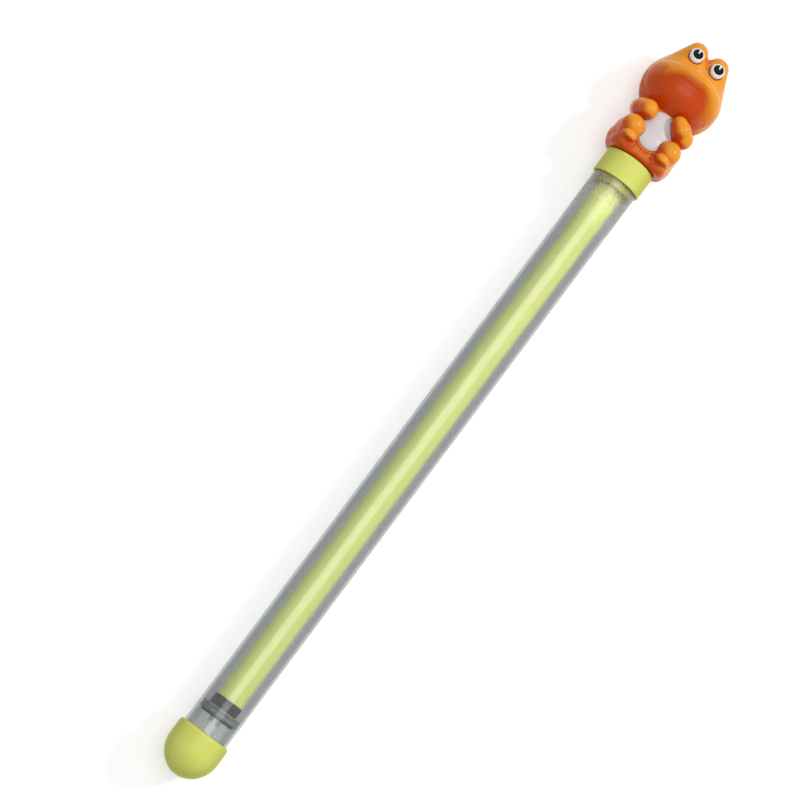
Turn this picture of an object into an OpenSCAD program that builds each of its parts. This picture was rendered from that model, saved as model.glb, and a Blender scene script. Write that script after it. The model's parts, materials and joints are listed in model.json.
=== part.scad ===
// Water squirter: a clear barrel with a domed jet cap, and a plunger whose handle is a seated frog.
// It is modelled standing on its cap, with the barrel along Z and the frog facing -Y, and then laid
// on its back: +X runs from the jet to the frog, +Z is the way the frog faces.

/* [Barrel] */
// Outside diameter of the clear tube
tube_d = 25; // [20:0.5:32]
// Wall of the clear tube
tube_wall = 1.2; // [0.8:0.1:2]
// Length of tube that shows between cap and collar
tube_shown = 346; // [220:1:420]

/* [Nozzle cap] */
// Wall of the cap around the tube
cap_wall = 1.85; // [1.2:0.05:3]
// Height of the cap's straight part
cap_straight_h = 9.6; // [7:0.1:16]
// How far the rounded end is drawn out past a half ball
cap_draw = 1.2; // [0.4:0.1:4]
// Wall of the rounded end
cap_dome_wall = 2.4; // [1.6:0.1:3.2]
// How far the tube's seat lies below the straight part
cap_seat_sink = 2.4; // [1.5:0.1:3.5]
// Radius of the cap's rounded rim
cap_rim_r = 1.75; // [0.4:0.05:3]
// Diameter of the jet hole
jet_d = 3; // [1.5:0.1:5]
// Length of the jet hole
jet_l = 6; // [4:0.1:8]
// Wall of the boss around the jet hole
jet_boss_wall = 2; // [1.2:0.1:3]
// Thickness of the gasket under the tube
gasket_h = 1.5; // [0.8:0.1:2.5]

/* [Collar] */
// Wall of the collar around the tube
collar_wall = 1.15; // [0.8:0.05:2.5]
// Height of the collar
collar_h = 13.7; // [9:0.1:20]
// Thickness of the collar's top
collar_web = 2; // [1.2:0.1:3]
// Gap between the rod and the collar's hole
collar_rod_gap = 1.3; // [1.1:0.1:2]
// Chamfer on the collar's edges
collar_chamfer = 0.5; // [0.2:0.1:0.7]
// Thickness of the guide's flange on the tube's end
guide_flange_h = 1.5; // [1:0.1:2.5]
// How far the guide shows below the collar
guide_drop = 4; // [2:0.5:10]
// Diameter of the vent grooves in the guide
vent_d = 1.8; // [1:0.1:2]
// Number of vent grooves
vent_count = 3; // [2:1:5]

/* [Plunger] */
// Gap between the rod and the tube's bore
rod_gap = 4; // [2.5:0.1:5]
// Wall of the rod
rod_wall = 1.3; // [0.9:0.1:2]
// Free height between the cap's rim and the piston when pushed in
piston_rest = 8.6; // [6:0.1:30]
// Gap between the plate under the seal and the tube's bore
retainer_gap = 1.8; // [1:0.1:3]
// Thickness of the plate under the seal
retainer_h = 1.2; // [0.8:0.1:2]
// Height of the seal
seal_h = 4.2; // [3:0.1:8]
// Width of the seal's ring, from the tube's bore to the stem inside it
seal_w = 5.3; // [4:0.1:6]
// How far the hub above the seal stands out from the rod
hub_step = 0.7; // [0.5:0.1:2]
// Height of the hub
hub_h = 5.7; // [4:0.1:10]
// Length of the hub's plug in the rod
hub_plug_l = 14; // [12:0.5:25]
// Length of rod inside the frog
rod_grip = 20; // [18:0.5:22]
// How far the anchor's flange stands out from the rod
anchor_step = 1.9; // [0.9:0.1:2.5]
// Thickness of the anchor's flange
anchor_h = 3; // [2:0.1:3.5]
// Length of the anchor's plug in the rod
anchor_plug_l = 14; // [11:0.5:25]
// Diameter of the cross pin
pin_d = 2; // [1.5:0.1:3]
// Distance of the cross pin below the rod's end
pin_drop = 7; // [4:0.5:9]

/* [Screws] */
// Diameter of the piston screw's shank
piston_screw_d = 3; // [2:0.1:4]
// Length of the piston screw's shank
piston_screw_l = 12; // [9:0.5:18]
// Diameter of the shell screws' shank
shell_screw_d = 2.2; // [1.8:0.1:2.6]
// Length of the shell screws' shank
shell_screw_l = 9; // [7:0.5:11]
// Distance of the shell screws' seats behind the parting plane
shell_screw_seat = 4; // [3:0.1:4.5]

/* [Frog body] */
// Width over the haunches
body_w = 38; // [34:0.2:44]
// How far the belly lies in front of the anchor's flange
belly_gap = 4.3; // [3:0.1:7]
// How far the back lies behind the anchor's flange
back_gap = 4.8; // [3.5:0.1:7]
// Height from the frog's seat to its chin
body_h = 30; // [27:0.2:36]

/* [Frog head] */
// Width of the head
head_w = 44.4; // [38:0.2:52]
// How far the muzzle reaches in front of the barrel's axis
head_front = 20.5; // [18:0.1:26]
// How far the back of the head lies behind the barrel's axis
head_back = 17; // [15:0.1:22]
// Height from the head's widest level down to its underside
head_drop = 20.8; // [19:0.1:24]
// Height of the head's widest level above the chin
head_rise = 14.4; // [13:0.1:17]
// How far the skull under the eyes lies in front of the barrel's axis
skull_front = 11; // [9:0.1:15]
// How far the lower jaw stays behind the muzzle
jaw_back = 2; // [1:0.1:4]
// Height of the mouth above the chin
mouth_rise = 13.8; // [12:0.1:16]
// Height of the muzzle's roll
muzzle_h = 16; // [14:0.1:18]
// How far the muzzle's roll hangs below the mouth
muzzle_hang = 1.8; // [1:0.1:3]
// Diameter of the mounds that carry the eyes
mound_d = 11.6; // [10.5:0.1:15]
// Height of the mounds' centres above the head's widest level
mound_rise = 21.1; // [19:0.1:24]
// How far the mounds' centres lie in front of the barrel's axis
mound_lead = 4; // [2:0.1:7]
// Distance between the eyes
eye_spread = 13.2; // [11:0.1:16]
// Diameter of the eyes
eye_d = 8; // [7:0.1:9]
// How far the eyes stand out of their seats
eye_h = 4.2; // [2.8:0.1:5]
// Radius of the eyes' rounded front edge
eye_edge_r = 1.6; // [0.6:0.1:2.4]
// Tilt of the eyes above level, in degrees
eye_tilt = 13; // [0:1:20]
// Diameter of the pupils
pupil_d = 5.2; // [4:0.1:6]
// Radius of the mouth's arc, seen from the front
mouth_arc_r = 66; // [45:1:200]
// Width of the mouth groove
mouth_gap = 0.8; // [0.4:0.1:1.4]
// Depth of the mouth groove
mouth_depth = 0.9; // [0.5:0.1:1.4]
// Wall of the hollow head
shell_wall = 2.2; // [1.6:0.1:3]
// Thickness of the belly panel
belly_t = 1.5; // [1:0.1:2]
// How far the belly panel stands proud of the body
belly_proud = 0.3; // [0:0.1:0.6]

/* [Clearances] */
// Gap between round pieces that slide or turn
running_fit = 0.05; // [0.02:0.01:0.1]
// Radial gap between round pieces that are pressed or glued
seat_fit = 0.05; // [0.02:0.01:0.1]
// Gap around the pieces that are set into the frog's shells
shell_fit = 0.1; // [0.05:0.01:0.2]
// Gap between the frog and the collar when pushed in
rest_gap = 0.3; // [0.2:0.1:1]

/* [Hidden] */

$fn = 96;
frog_facets = 36;
limb_facets = 24;
left = 1;
right = -1;
overrun = tube_wall;

// Radii
tube_r = tube_d / 2;
bore_r = tube_r - tube_wall;
socket_r = tube_r + seat_fit;
cap_r = socket_r + cap_wall;
cap_arc_r = cap_r + cap_draw;
collar_r = socket_r + collar_wall;
jet_r = jet_d / 2;
rod_r = bore_r - rod_gap;
rod_bore_r = rod_r - rod_wall;
plug_r = rod_bore_r - seat_fit;
hub_r = rod_r + hub_step;
anchor_r = rod_r + anchor_step;
body_front = anchor_r + belly_gap;
body_back = anchor_r + back_gap;
retainer_r = bore_r - retainer_gap;
seal_stem_r = bore_r - seal_w;
seal_r = bore_r - running_fit;
head_r = head_w / 2;
mound_r = mound_d / 2;
eye_r = eye_d / 2;

// Heights above the jet, from the cap up
cap_dome_h = sqrt(pow(cap_arc_r, 2) - pow(cap_draw, 2));
cap_h = cap_dome_h + cap_straight_h;
cap_ledge_z = cap_dome_h - cap_seat_sink;
tube_z0 = cap_ledge_z + gasket_h;
collar_z0 = cap_h + tube_shown;
collar_z1 = collar_z0 + collar_h;
tube_z1 = collar_z1 - collar_web - guide_flange_h;
guide_z0 = collar_z0 - guide_drop;
retainer_z0 = cap_h + piston_rest;
seal_z0 = retainer_z0 + retainer_h;
hub_z0 = seal_z0 + seal_h;
rod_z0 = hub_z0 + hub_h;
frog_z = collar_z1 + rest_gap;
rod_z1 = frog_z + rod_grip;
pin_z = rod_z1 - pin_drop;

// Heights above the frog's seat
head_z = body_h + head_rise;
mouth_z = body_h + mouth_rise;
muzzle_r = muzzle_h / 2;
mound_z = head_z + mound_rise;
frog_h = mound_z + mound_r;
total_l = frog_z + frog_h;
axis_h = max(head_back, cap_r);
frog_room = 2 * (head_w + frog_h);

// Limbs: each joint is [across, forward, up, radius] in shares of half the body's width, the belly's
// reach, the body's height and half the body's width
thigh_shares = [
  [0.6, 0, 0.25, 0.375], [0.63, 0.15, 0.42, 0.35], [0.605, 0.89, 0.447, 0.295], [0.59, 0.89, 0.24, 0.27]
];
foot_shares = [[0.58, 0.6, 0.18, 0.21], [0.55, 1.04, 0.187, 0.208]];
// The left hand is raised to the chin, the right one lies lower on the belly
left_arm_shares = [[0.65, 0.2, 0.83, 0.31], [0.43, 0.93, 0.862, 0.268]];
right_arm_shares = [[0.64, 0.15, 0.865, 0.295], [0.5, 0.96, 0.79, 0.25]];
// The cushion that the frog sits on has such a ball at each of its four corners
cushion_shares = [[0.585, 0.63, 0.22, 0.36], [0.585, -0.41, 0.22, 0.36]];
// Torso: each ball is [height, half width, half depth, half height] in shares of the body's height,
// half its width, half its depth and its height
torso_shares = [[0.4, 0.87, 1, 0.4], [0.8, 0.8, 0.84, 0.3]];
// Belly: centre height, half height and half width in shares of the body's height and half its width
belly_mid_share = 0.6;
belly_rise_share = 0.4;
belly_half_share = 0.49;
// Muzzle: a roll round the face, whose balls are [across, forward, radius] in shares of half the head's
// width, the muzzle's reach and half the roll's height
muzzle_shares = [[0, 0.61, 1], [0.4, 0.5, 0.96], [0.665, 0.15, 0.76]];
// Jaw: its middle level, half height and half width in shares of the head's drop and half the head's width
jaw_mid_share = 0.1;
jaw_half_h_share = 0.79;
jaw_half_w_share = 0.98;
// Where the mouth ends, in shares of the muzzle's reach
mouth_end_share = 0.1;
// Eyes: seat depth in the mound, drop below its centre, stem and pupil, in shares of the eye's radius
eye_seat_share = 1;
eye_drop_share = 1;
stem_r_share = 0.7;
stem_l_share = 0.9;
pupil_lift_share = 0.12;
pupil_t_share = 0.15;
// Pupils: height of the notch's inner end, its half width at the rim and at the inner end, in shares of
// the pupil's radius
notch_shares = [0.28, 0.26, 0.13];
// Screws: head and boss sizes in shares of the shank's diameter, cross recess in shares of the head
screw_head_d_share = 2.2;
screw_head_h_share = 0.85;
screw_boss_share = 2.9;
recess_w_share = 0.16;
recess_l_share = 0.62;
recess_depth_share = 0.55;
// Shell screws: [across, up] in shares of half the body's width and the body's height
low_screw_shares = [0.67, 0.5];
seal_groove_share = 0.25;

shell_boss_r = screw_boss_share * shell_screw_d / 2;
shell_head_r = screw_head_d_share * shell_screw_d / 2;
low_screw = [low_screw_shares[0] * body_w / 2, low_screw_shares[1] * body_h];
shell_screw_places = [[0, head_z], low_screw, [-low_screw[0], low_screw[1]]];

// Lays the standing model on its back, with the jet end at -X
module lay() {
  translate([-total_l / 2, 0, axis_h]) rotate([0, 90, 0]) rotate([0, 0, -90]) children();
}

// A plain ring from height z0 to z1
module ring(r_out, r_in, z0, z1) {
  difference() {
    translate([0, 0, z0]) cylinder(r = r_out, h = z1 - z0);
    translate([0, 0, z0 - overrun]) cylinder(r = r_in, h = z1 - z0 + 2 * overrun);
  }
}

// Cuts the outer corner of a turned outline: up is 1 for a top corner and -1 for a bottom one
module corner_cut(r, z, chamfer, up) {
  polygon([[r - chamfer, z], [r, z - up * chamfer], [r + overrun, z - up * chamfer],
    [r + overrun, z + up * overrun], [r - chamfer, z + up * overrun]]);
}

// Rounds the outer top corner of a turned outline
module corner_round(r, z, fillet) {
  translate([r - fillet, z - fillet]) difference() {
    square(fillet + overrun);
    circle(r = fillet);
  }
}

module barrel_tube() {
  color([0.82, 0.86, 0.88, 0.4]) lay() ring(tube_r, bore_r, tube_z0, tube_z1);
}

module cap_outline() {
  intersection() {
    translate([-cap_draw, cap_dome_h]) circle(r = cap_arc_r);
    square([cap_r, cap_dome_h]);
  }
  translate([0, cap_dome_h]) square([cap_r, cap_straight_h]);
}

module cap_hollow() {
  translate([0, cap_ledge_z]) square([socket_r, cap_h]);
  intersection() {
    translate([-cap_draw, cap_dome_h]) circle(r = cap_arc_r - cap_dome_wall);
    square([bore_r, cap_dome_h]);
  }
}

module nozzle_cap() {
  color([0.8, 0.85, 0.2]) lay() rotate_extrude() difference() {
    union() {
      difference() {
        cap_outline();
        cap_hollow();
      }
      intersection() {
        cap_outline();
        square([jet_r + jet_boss_wall, jet_l]);
      }
    }
    translate([0, -overrun]) square([jet_r, jet_l + 2 * overrun]);
    corner_round(cap_r, cap_h, min(cap_rim_r, cap_wall));
  }
}

module cap_gasket() {
  color([0.2, 0.2, 0.2]) lay() ring(tube_r, bore_r, cap_ledge_z, tube_z0);
}

module collar() {
  color([0.8, 0.85, 0.2]) lay() rotate_extrude() difference() {
    translate([0, collar_z0]) square([collar_r, collar_h]);
    translate([0, collar_z0 - overrun]) square([socket_r, collar_h - collar_web + overrun]);
    translate([0, collar_z0]) square([rod_r + collar_rod_gap, collar_h + overrun]);
    corner_cut(collar_r, collar_z1, collar_chamfer, 1);
    corner_cut(collar_r, collar_z0, collar_chamfer, -1);
  }
}

module rod_guide() {
  guide_h = tube_z1 + guide_flange_h - guide_z0;
  color([0.7, 0.75, 0.2]) lay() difference() {
    union() {
      ring(bore_r - seat_fit, rod_r + running_fit, guide_z0, tube_z1);
      ring(tube_r, rod_r + running_fit, tube_z1, tube_z1 + guide_flange_h);
    }
    for (i = [0:vent_count - 1]) rotate(i * 360 / vent_count)
      translate([rod_r, 0, guide_z0 - overrun]) cylinder(d = vent_d, h = guide_h + 2 * overrun);
  }
}

module piston_seal() {
  lips_h = seal_h - 2 * running_fit;
  color([0.25, 0.26, 0.28]) lay() rotate_extrude() translate([0, seal_z0 + running_fit]) difference() {
    translate([seal_stem_r + running_fit, 0]) square([seal_r - seal_stem_r - running_fit, lips_h]);
    translate([seal_r, lips_h / 2]) circle(r = seal_groove_share * lips_h);
  }
}

// A cross-head screw with its seat at the origin and its shank along +Z
module cross_screw(shank_d, shank_l) {
  screw_head_r = screw_head_d_share * shank_d / 2;
  screw_head_h = screw_head_h_share * shank_d;
  recess = [recess_l_share, recess_w_share] * 2 * screw_head_r;
  recess_h = recess_depth_share * screw_head_h;
  difference() {
    union() {
      cylinder(d = shank_d, h = shank_l);
      translate([0, 0, -screw_head_h]) cylinder(r = screw_head_r, h = screw_head_h);
    }
    for (turn = [0, 90]) rotate(turn)
      translate([-recess[0] / 2, -recess[1] / 2, -screw_head_h - overrun])
        cube([recess[0], recess[1], recess_h + overrun]);
  }
}

module plunger_rod() {
  color([0.8, 0.86, 0.3]) lay() difference() {
    ring(rod_r, rod_bore_r, rod_z0, rod_z1);
    translate([0, 0, pin_z]) rotate([0, 90, 0]) cylinder(d = pin_d, h = 4 * rod_r, center = true);
  }
}

module piston_core() {
  color([0.08, 0.08, 0.09]) lay() difference() {
    union() {
      translate([0, 0, seal_z0]) cylinder(r = seal_stem_r, h = seal_h);
      translate([0, 0, hub_z0]) cylinder(r = hub_r, h = hub_h);
      translate([0, 0, rod_z0]) cylinder(r = plug_r, h = hub_plug_l);
    }
    translate([0, 0, seal_z0 - overrun])
      cylinder(d = piston_screw_d + 2 * seat_fit, h = piston_screw_l + overrun);
  }
}

module piston_retainer() {
  color([0.1, 0.1, 0.11]) lay()
    ring(retainer_r, piston_screw_d / 2 + seat_fit, retainer_z0, seal_z0);
}

module piston_screw() {
  color([0.7, 0.7, 0.72]) lay() translate([0, 0, retainer_z0]) cross_screw(piston_screw_d, piston_screw_l);
}

module rod_anchor() {
  color([0.9, 0.9, 0.88]) lay() difference() {
    union() {
      translate([0, 0, rod_z1 - anchor_plug_l]) cylinder(r = plug_r, h = anchor_plug_l);
      translate([0, 0, rod_z1]) cylinder(r = anchor_r, h = anchor_h);
    }
    translate([0, 0, pin_z]) rotate([0, 90, 0]) cylinder(d = pin_d, h = 4 * rod_r, center = true);
  }
}

module anchor_pin() {
  color([0.7, 0.7, 0.72]) lay() translate([0, 0, pin_z]) rotate([0, 90, 0])
    cylinder(r = pin_d / 2 - seat_fit, h = 2 * rod_r, center = true);
}

// The frog is drawn in its own frame, seated on z = 0, with places as [across, forward, up]
module at(place) {
  translate([place[0], -place[1], place[2]]) children();
}

module oval(half) {
  scale(half) sphere(r = 1, $fn = frog_facets);
}

module joint_ball(j, side) {
  at([side * j[0] * body_w / 2, j[1] * body_front, j[2] * body_h])
    sphere(r = j[3] * body_w / 2, $fn = limb_facets);
}

function arm_shares(side) = side == left ? left_arm_shares : right_arm_shares;

// One limb on one side: the hull of its joints' balls
module limb(joints, side) {
  hull() for (j = joints) joint_ball(j, side);
}

// The same limb seen from the front
module limb_outline(joints, side) {
  hull() for (j = joints)
    translate([side * j[0] * body_w / 2, j[2] * body_h])
      circle(r = j[3] * body_w / 2 + shell_fit, $fn = limb_facets);
}

module torso(skin) {
  mid = (body_front - body_back) / 2;
  deep = (body_front + body_back) / 2;
  hull() {
    for (ball = torso_shares)
      at([0, mid, ball[0] * body_h])
        oval([ball[1] * body_w / 2 - skin, ball[2] * deep - skin, ball[3] * body_h - skin]);
  }
}

module cushion() {
  hull() for (side = [left, right], j = cushion_shares) joint_ball(j, side);
}

module skull(skin) {
  at([0, (skull_front - head_back) / 2, head_z])
    oval([head_r - skin, (skull_front + head_back) / 2 - skin, head_drop - skin]);
}

module jaw(skin) {
  reach = head_front - jaw_back;
  at([0, (reach - head_back) / 2, head_z - jaw_mid_share * head_drop])
    oval([jaw_half_w_share * head_r - skin, (reach + head_back) / 2 - skin,
      jaw_half_h_share * head_drop - skin]);
}

// Height of the mouth's arc at a place across the head
function mouth_at(across) = mouth_z - mouth_arc_r + sqrt(pow(mouth_arc_r, 2) - pow(across, 2));

module muzzle(skin) {
  hull() for (side = [left, right], j = muzzle_shares)
    at([side * j[0] * head_r, j[1] * head_front, mouth_at(j[0] * head_r) - muzzle_hang + j[2] * muzzle_r])
      sphere(r = j[2] * muzzle_r - skin, $fn = frog_facets);
}

module mound(side) {
  at([side * eye_spread / 2, mound_lead, mound_z]) sphere(r = mound_r, $fn = frog_facets);
}

module frog_form() {
  intersection() {
    translate([-frog_room / 2, -frog_room / 2, 0]) cube(frog_room);
    union() {
      torso(0);
      cushion();
      jaw(0);
      muzzle(0);
      for (side = [left, right]) {
        hull() {
          skull(0);
          mound(side);
        }
        limb(thigh_shares, side);
        limb(foot_shares, side);
        limb(arm_shares(side), side);
      }
    }
  }
}

// Everything in front of the parting plane
module front_half() {
  translate([-frog_room / 2, -frog_room, -frog_room / 2]) cube(frog_room);
}

module shell_screw_bore(r, from, to) {
  rotate([90, 0, 0]) translate([0, 0, from]) cylinder(r = r, h = to - from, $fn = limb_facets);
}

// The hollow of the head, crossed by the post for its screw
module head_hollow() {
  difference() {
    union() {
      skull(shell_wall);
      jaw(shell_wall);
      muzzle(shell_wall);
    }
    translate([0, 0, head_z]) shell_screw_bore(shell_boss_r, -frog_room, frog_room);
  }
}

// Room for the rod and for the anchor's flange
module rod_room() {
  translate([0, 0, -overrun])
    cylinder(r = rod_r + shell_fit, h = rod_grip + 2 * overrun, $fn = frog_facets);
  translate([0, 0, rod_grip - shell_fit])
    cylinder(r = anchor_r + shell_fit, h = anchor_h + 2 * shell_fit, $fn = frog_facets);
}

module belly_outline(grow) {
  offset(delta = grow) difference() {
    translate([0, belly_mid_share * body_h])
      scale([belly_half_share * body_w / 2, belly_rise_share * body_h]) circle(r = 1, $fn = frog_facets);
    for (side = [left, right]) {
      limb_outline(thigh_shares, side);
      limb_outline(foot_shares, side);
      limb_outline(arm_shares(side), side);
    }
  }
}

// The column in front of the frog that the belly's outline sweeps
module belly_column(grow) {
  rotate([90, 0, 0]) linear_extrude(height = frog_room) belly_outline(grow);
}

module mouth_slot() {
  difference() {
    translate([0, -mouth_end_share * head_front, mouth_z - mouth_arc_r]) rotate([90, 0, 0]) difference() {
      cylinder(r = mouth_arc_r + mouth_gap / 2, h = frog_room);
      translate([0, 0, -overrun]) cylinder(r = mouth_arc_r - mouth_gap / 2, h = frog_room + 2 * overrun);
    }
    translate([-frog_room / 2, -frog_room, -frog_room]) cube([frog_room, frog_room, frog_room + body_h]);
    skull(mouth_depth);
    jaw(mouth_depth);
    muzzle(mouth_depth);
  }
}

// The eyes' own frame: seated at the origin, facing +Z, with the frog's up along +Y
module eye_frame(side) {
  at([side * eye_spread / 2, mound_lead, mound_z - eye_drop_share * eye_r])
    rotate([90 - eye_tilt, 0, 0]) translate([0, 0, eye_seat_share * eye_r]) children();
}

module eye_seat(side) {
  eye_frame(side) {
    cylinder(r = eye_r + shell_fit, h = frog_room, $fn = frog_facets);
    translate([0, 0, -stem_l_share * eye_r - shell_fit])
      cylinder(r = stem_r_share * eye_r + shell_fit, h = 2 * stem_l_share * eye_r, $fn = frog_facets);
  }
}

module frog_front_shell() {
  color([0.93, 0.5, 0.12]) lay() translate([0, 0, frog_z]) difference() {
    intersection() {
      frog_form();
      front_half();
    }
    head_hollow();
    rod_room();
    mouth_slot();
    difference() {
      belly_column(shell_fit);
      torso(belly_t - belly_proud + shell_fit);
      jaw(0);
    }
    for (side = [left, right]) eye_seat(side);
    for (place = shell_screw_places) translate([place[0], 0, place[1]])
      shell_screw_bore(shell_screw_d / 2 + shell_fit, -overrun, shell_screw_l - shell_screw_seat + overrun);
  }
}

module frog_back_shell() {
  color([0.93, 0.5, 0.12]) lay() translate([0, 0, frog_z]) difference() {
    frog_form();
    front_half();
    head_hollow();
    rod_room();
    for (place = shell_screw_places) translate([place[0], 0, place[1]]) {
      shell_screw_bore(shell_screw_d / 2 + shell_fit, -shell_screw_seat - overrun, overrun);
      shell_screw_bore(shell_head_r + shell_fit, -frog_room, -shell_screw_seat);
    }
  }
}

module belly_panel() {
  color([0.96, 0.95, 0.92]) lay() translate([0, 0, frog_z]) intersection() {
    belly_column(0);
    difference() {
      torso(-belly_proud);
      torso(belly_t - belly_proud);
      jaw(-shell_fit);
    }
  }
}

module eye_form() {
  rotate_extrude() {
    square([eye_r, eye_h - eye_edge_r]);
    square([eye_r - eye_edge_r, eye_h]);
    translate([eye_r - eye_edge_r, eye_h - eye_edge_r]) circle(r = eye_edge_r);
  }
  translate([0, 0, -stem_l_share * eye_r]) cylinder(r = stem_r_share * eye_r, h = stem_l_share * eye_r);
}

// A round plug through the eye's front, down to the pupil's seat
module pupil_plug(r) {
  translate([0, pupil_lift_share * eye_r, eye_h - pupil_t_share * eye_r]) cylinder(r = r, h = eye_h);
}

module eye(side) {
  color([0.97, 0.97, 0.96]) lay() translate([0, 0, frog_z]) eye_frame(side) difference() {
    eye_form();
    difference() {
      pupil_plug(pupil_d / 2);
      pupil_notch(pupil_d / 2, seat_fit);
    }
  }
}

// The notch in the top of a pupil, which a tab of the eye fills
module pupil_notch(r, inset) {
  low = notch_shares[0] * r;
  wide = notch_shares[1] * r;
  narrow = notch_shares[2] * r;
  translate([0, pupil_lift_share * eye_r, 0]) linear_extrude(height = 2 * eye_h) offset(delta = -inset)
    polygon([[-narrow, low], [narrow, low], [wide, r], [wide, eye_d], [-wide, eye_d], [-wide, r]]);
}

module pupil(side) {
  color([0.05, 0.05, 0.05]) lay() translate([0, 0, frog_z]) eye_frame(side) difference() {
    intersection() {
      eye_form();
      pupil_plug(pupil_d / 2 - seat_fit);
    }
    pupil_notch(pupil_d / 2, 0);
  }
}

module left_eye() { eye(left); }
module right_eye() { eye(right); }
module left_pupil() { pupil(left); }
module right_pupil() { pupil(right); }

module shell_screws() {
  color([0.7, 0.7, 0.72]) lay() translate([0, 0, frog_z])
    for (place = shell_screw_places) translate([place[0], shell_screw_seat, place[1]])
      rotate([90, 0, 0]) cross_screw(shell_screw_d, shell_screw_l);
}

barrel_tube();
nozzle_cap();
cap_gasket();
collar();
rod_guide();
piston_seal();
plunger_rod();
piston_core();
piston_retainer();
piston_screw();
rod_anchor();
anchor_pin();
frog_front_shell();
frog_back_shell();
belly_panel();
left_eye();
right_eye();
left_pupil();
right_pupil();
shell_screws();
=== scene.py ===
"""Finished pieces of a water squirter with a frog handle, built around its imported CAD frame.

The frame lies on its back: +X runs from the jet to the frog, +Z is the way the frog faces.
"""

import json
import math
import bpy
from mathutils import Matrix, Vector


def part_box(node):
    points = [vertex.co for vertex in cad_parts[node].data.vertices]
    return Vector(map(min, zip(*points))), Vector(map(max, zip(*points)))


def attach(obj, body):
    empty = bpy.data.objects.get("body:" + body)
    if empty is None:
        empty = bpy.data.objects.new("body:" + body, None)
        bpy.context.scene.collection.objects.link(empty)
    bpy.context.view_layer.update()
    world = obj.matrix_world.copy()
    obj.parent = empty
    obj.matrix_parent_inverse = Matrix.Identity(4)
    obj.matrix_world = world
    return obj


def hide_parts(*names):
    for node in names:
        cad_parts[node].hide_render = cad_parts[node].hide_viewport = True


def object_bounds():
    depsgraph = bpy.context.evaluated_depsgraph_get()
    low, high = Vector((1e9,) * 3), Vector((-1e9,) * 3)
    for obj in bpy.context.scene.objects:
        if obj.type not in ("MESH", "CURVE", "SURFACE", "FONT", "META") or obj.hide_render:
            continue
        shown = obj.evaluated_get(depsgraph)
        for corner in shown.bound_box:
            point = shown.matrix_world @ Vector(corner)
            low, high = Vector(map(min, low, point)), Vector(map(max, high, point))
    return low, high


bl_info = {
    "name": "Water Squirter",
    "version": (1, 0, 0),
    "blender": (4, 5, 0),
    "location": "View3D > Sidebar > Squirter",
    "description": "Builds the pieces, finishes and studio of a water squirter with a frog handle",
    "category": "Object",
}

import bmesh
import bpy
import numpy as np
from bpy.props import FloatProperty, FloatVectorProperty, PointerProperty
from mathutils import Matrix, Vector

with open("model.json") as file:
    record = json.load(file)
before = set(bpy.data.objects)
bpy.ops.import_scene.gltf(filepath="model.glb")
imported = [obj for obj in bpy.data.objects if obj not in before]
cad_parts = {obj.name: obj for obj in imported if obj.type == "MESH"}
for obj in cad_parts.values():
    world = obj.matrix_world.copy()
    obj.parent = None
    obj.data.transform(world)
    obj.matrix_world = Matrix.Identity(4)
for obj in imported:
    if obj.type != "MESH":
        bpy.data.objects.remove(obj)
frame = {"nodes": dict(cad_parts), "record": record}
CAD_BOX = [list(corner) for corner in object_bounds()]

MM = 0.001
TUBE_LOW, TUBE_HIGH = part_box("barrel_tube")
AXIS_Y = (TUBE_LOW.y + TUBE_HIGH.y) / 2
AXIS_Z = (TUBE_LOW.z + TUBE_HIGH.z) / 2
SEAT_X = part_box("frog_front_shell")[0].x


def node_radius(node):
    """Outer radius of a turned CAD node."""
    low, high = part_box(node)
    return (high.y - low.y) / 2


# Sizes and colours that a user would change


def length_prop(label, note, value):
    return FloatProperty(
        name=label,
        description=note,
        default=value * MM,
        min=0,
        precision=5,
        unit="LENGTH",
        subtype="DISTANCE",
    )


def angle_prop(label, note, degrees):
    return FloatProperty(name=label, description=note, default=math.radians(degrees), subtype="ANGLE")


def level_prop(label, note, value, unit="NONE"):
    return FloatProperty(name=label, description=note, default=value, unit=unit)


def colour_prop(label, note, value):
    return FloatVectorProperty(
        name=label, description=note, default=value, size=3, min=0, max=1, subtype="COLOR"
    )


class TurnedSizes(bpy.types.PropertyGroup):
    """Sizes of the barrel's round pieces that the frame's boxes don't give."""

    tube_wall: length_prop("Tube wall", "Wall of the clear tube", 1.2)
    cap_straight: length_prop("Cap straight", "Height of the cap's straight part", 9.6)
    cap_draw: length_prop("Cap draw", "How far the rounded end is drawn out past a half ball", 1.2)
    cap_dome_wall: length_prop("Dome wall", "Wall of the cap's rounded end", 2.4)
    cap_seat_sink: length_prop("Seat sink", "How far the tube's seat lies below the straight part", 2.4)
    cap_rim: length_prop("Cap rim", "Radius of the cap's rounded rim", 1.75)
    socket_gap: length_prop("Socket gap", "Gap between the tube and the rings on it", 0.05)
    jet_r: length_prop("Jet radius", "Radius of the jet hole", 1.5)
    jet_length: length_prop("Jet length", "Length of the jet hole", 6.0)
    jet_boss: length_prop("Jet boss", "Wall of the boss around the jet hole", 2.0)
    collar_web: length_prop("Collar web", "Thickness of the collar's top", 2.0)
    collar_hole: length_prop("Collar hole", "Radius of the collar's hole for the rod", 8.6)
    seal_bore: length_prop("Seal bore", "Radius of the hole in the seal", 6.05)
    lip_depth: length_prop("Lip depth", "Depth of the groove between the seal's lips", 0.6)
    hub_plug: length_prop("Hub plug", "Radius of the hub's plug in the rod", 5.95)
    hub_stem: length_prop("Hub stem", "Radius of the hub's stem in the seal", 6.0)
    hub_rise: length_prop("Hub rise", "Height of the hub above the seal", 5.7)
    screw_hole: length_prop("Screw hole", "Radius of the hole for the piston's screw", 1.55)
    screw_depth: length_prop("Screw depth", "Depth of the hole for the piston's screw", 12.0)


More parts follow.
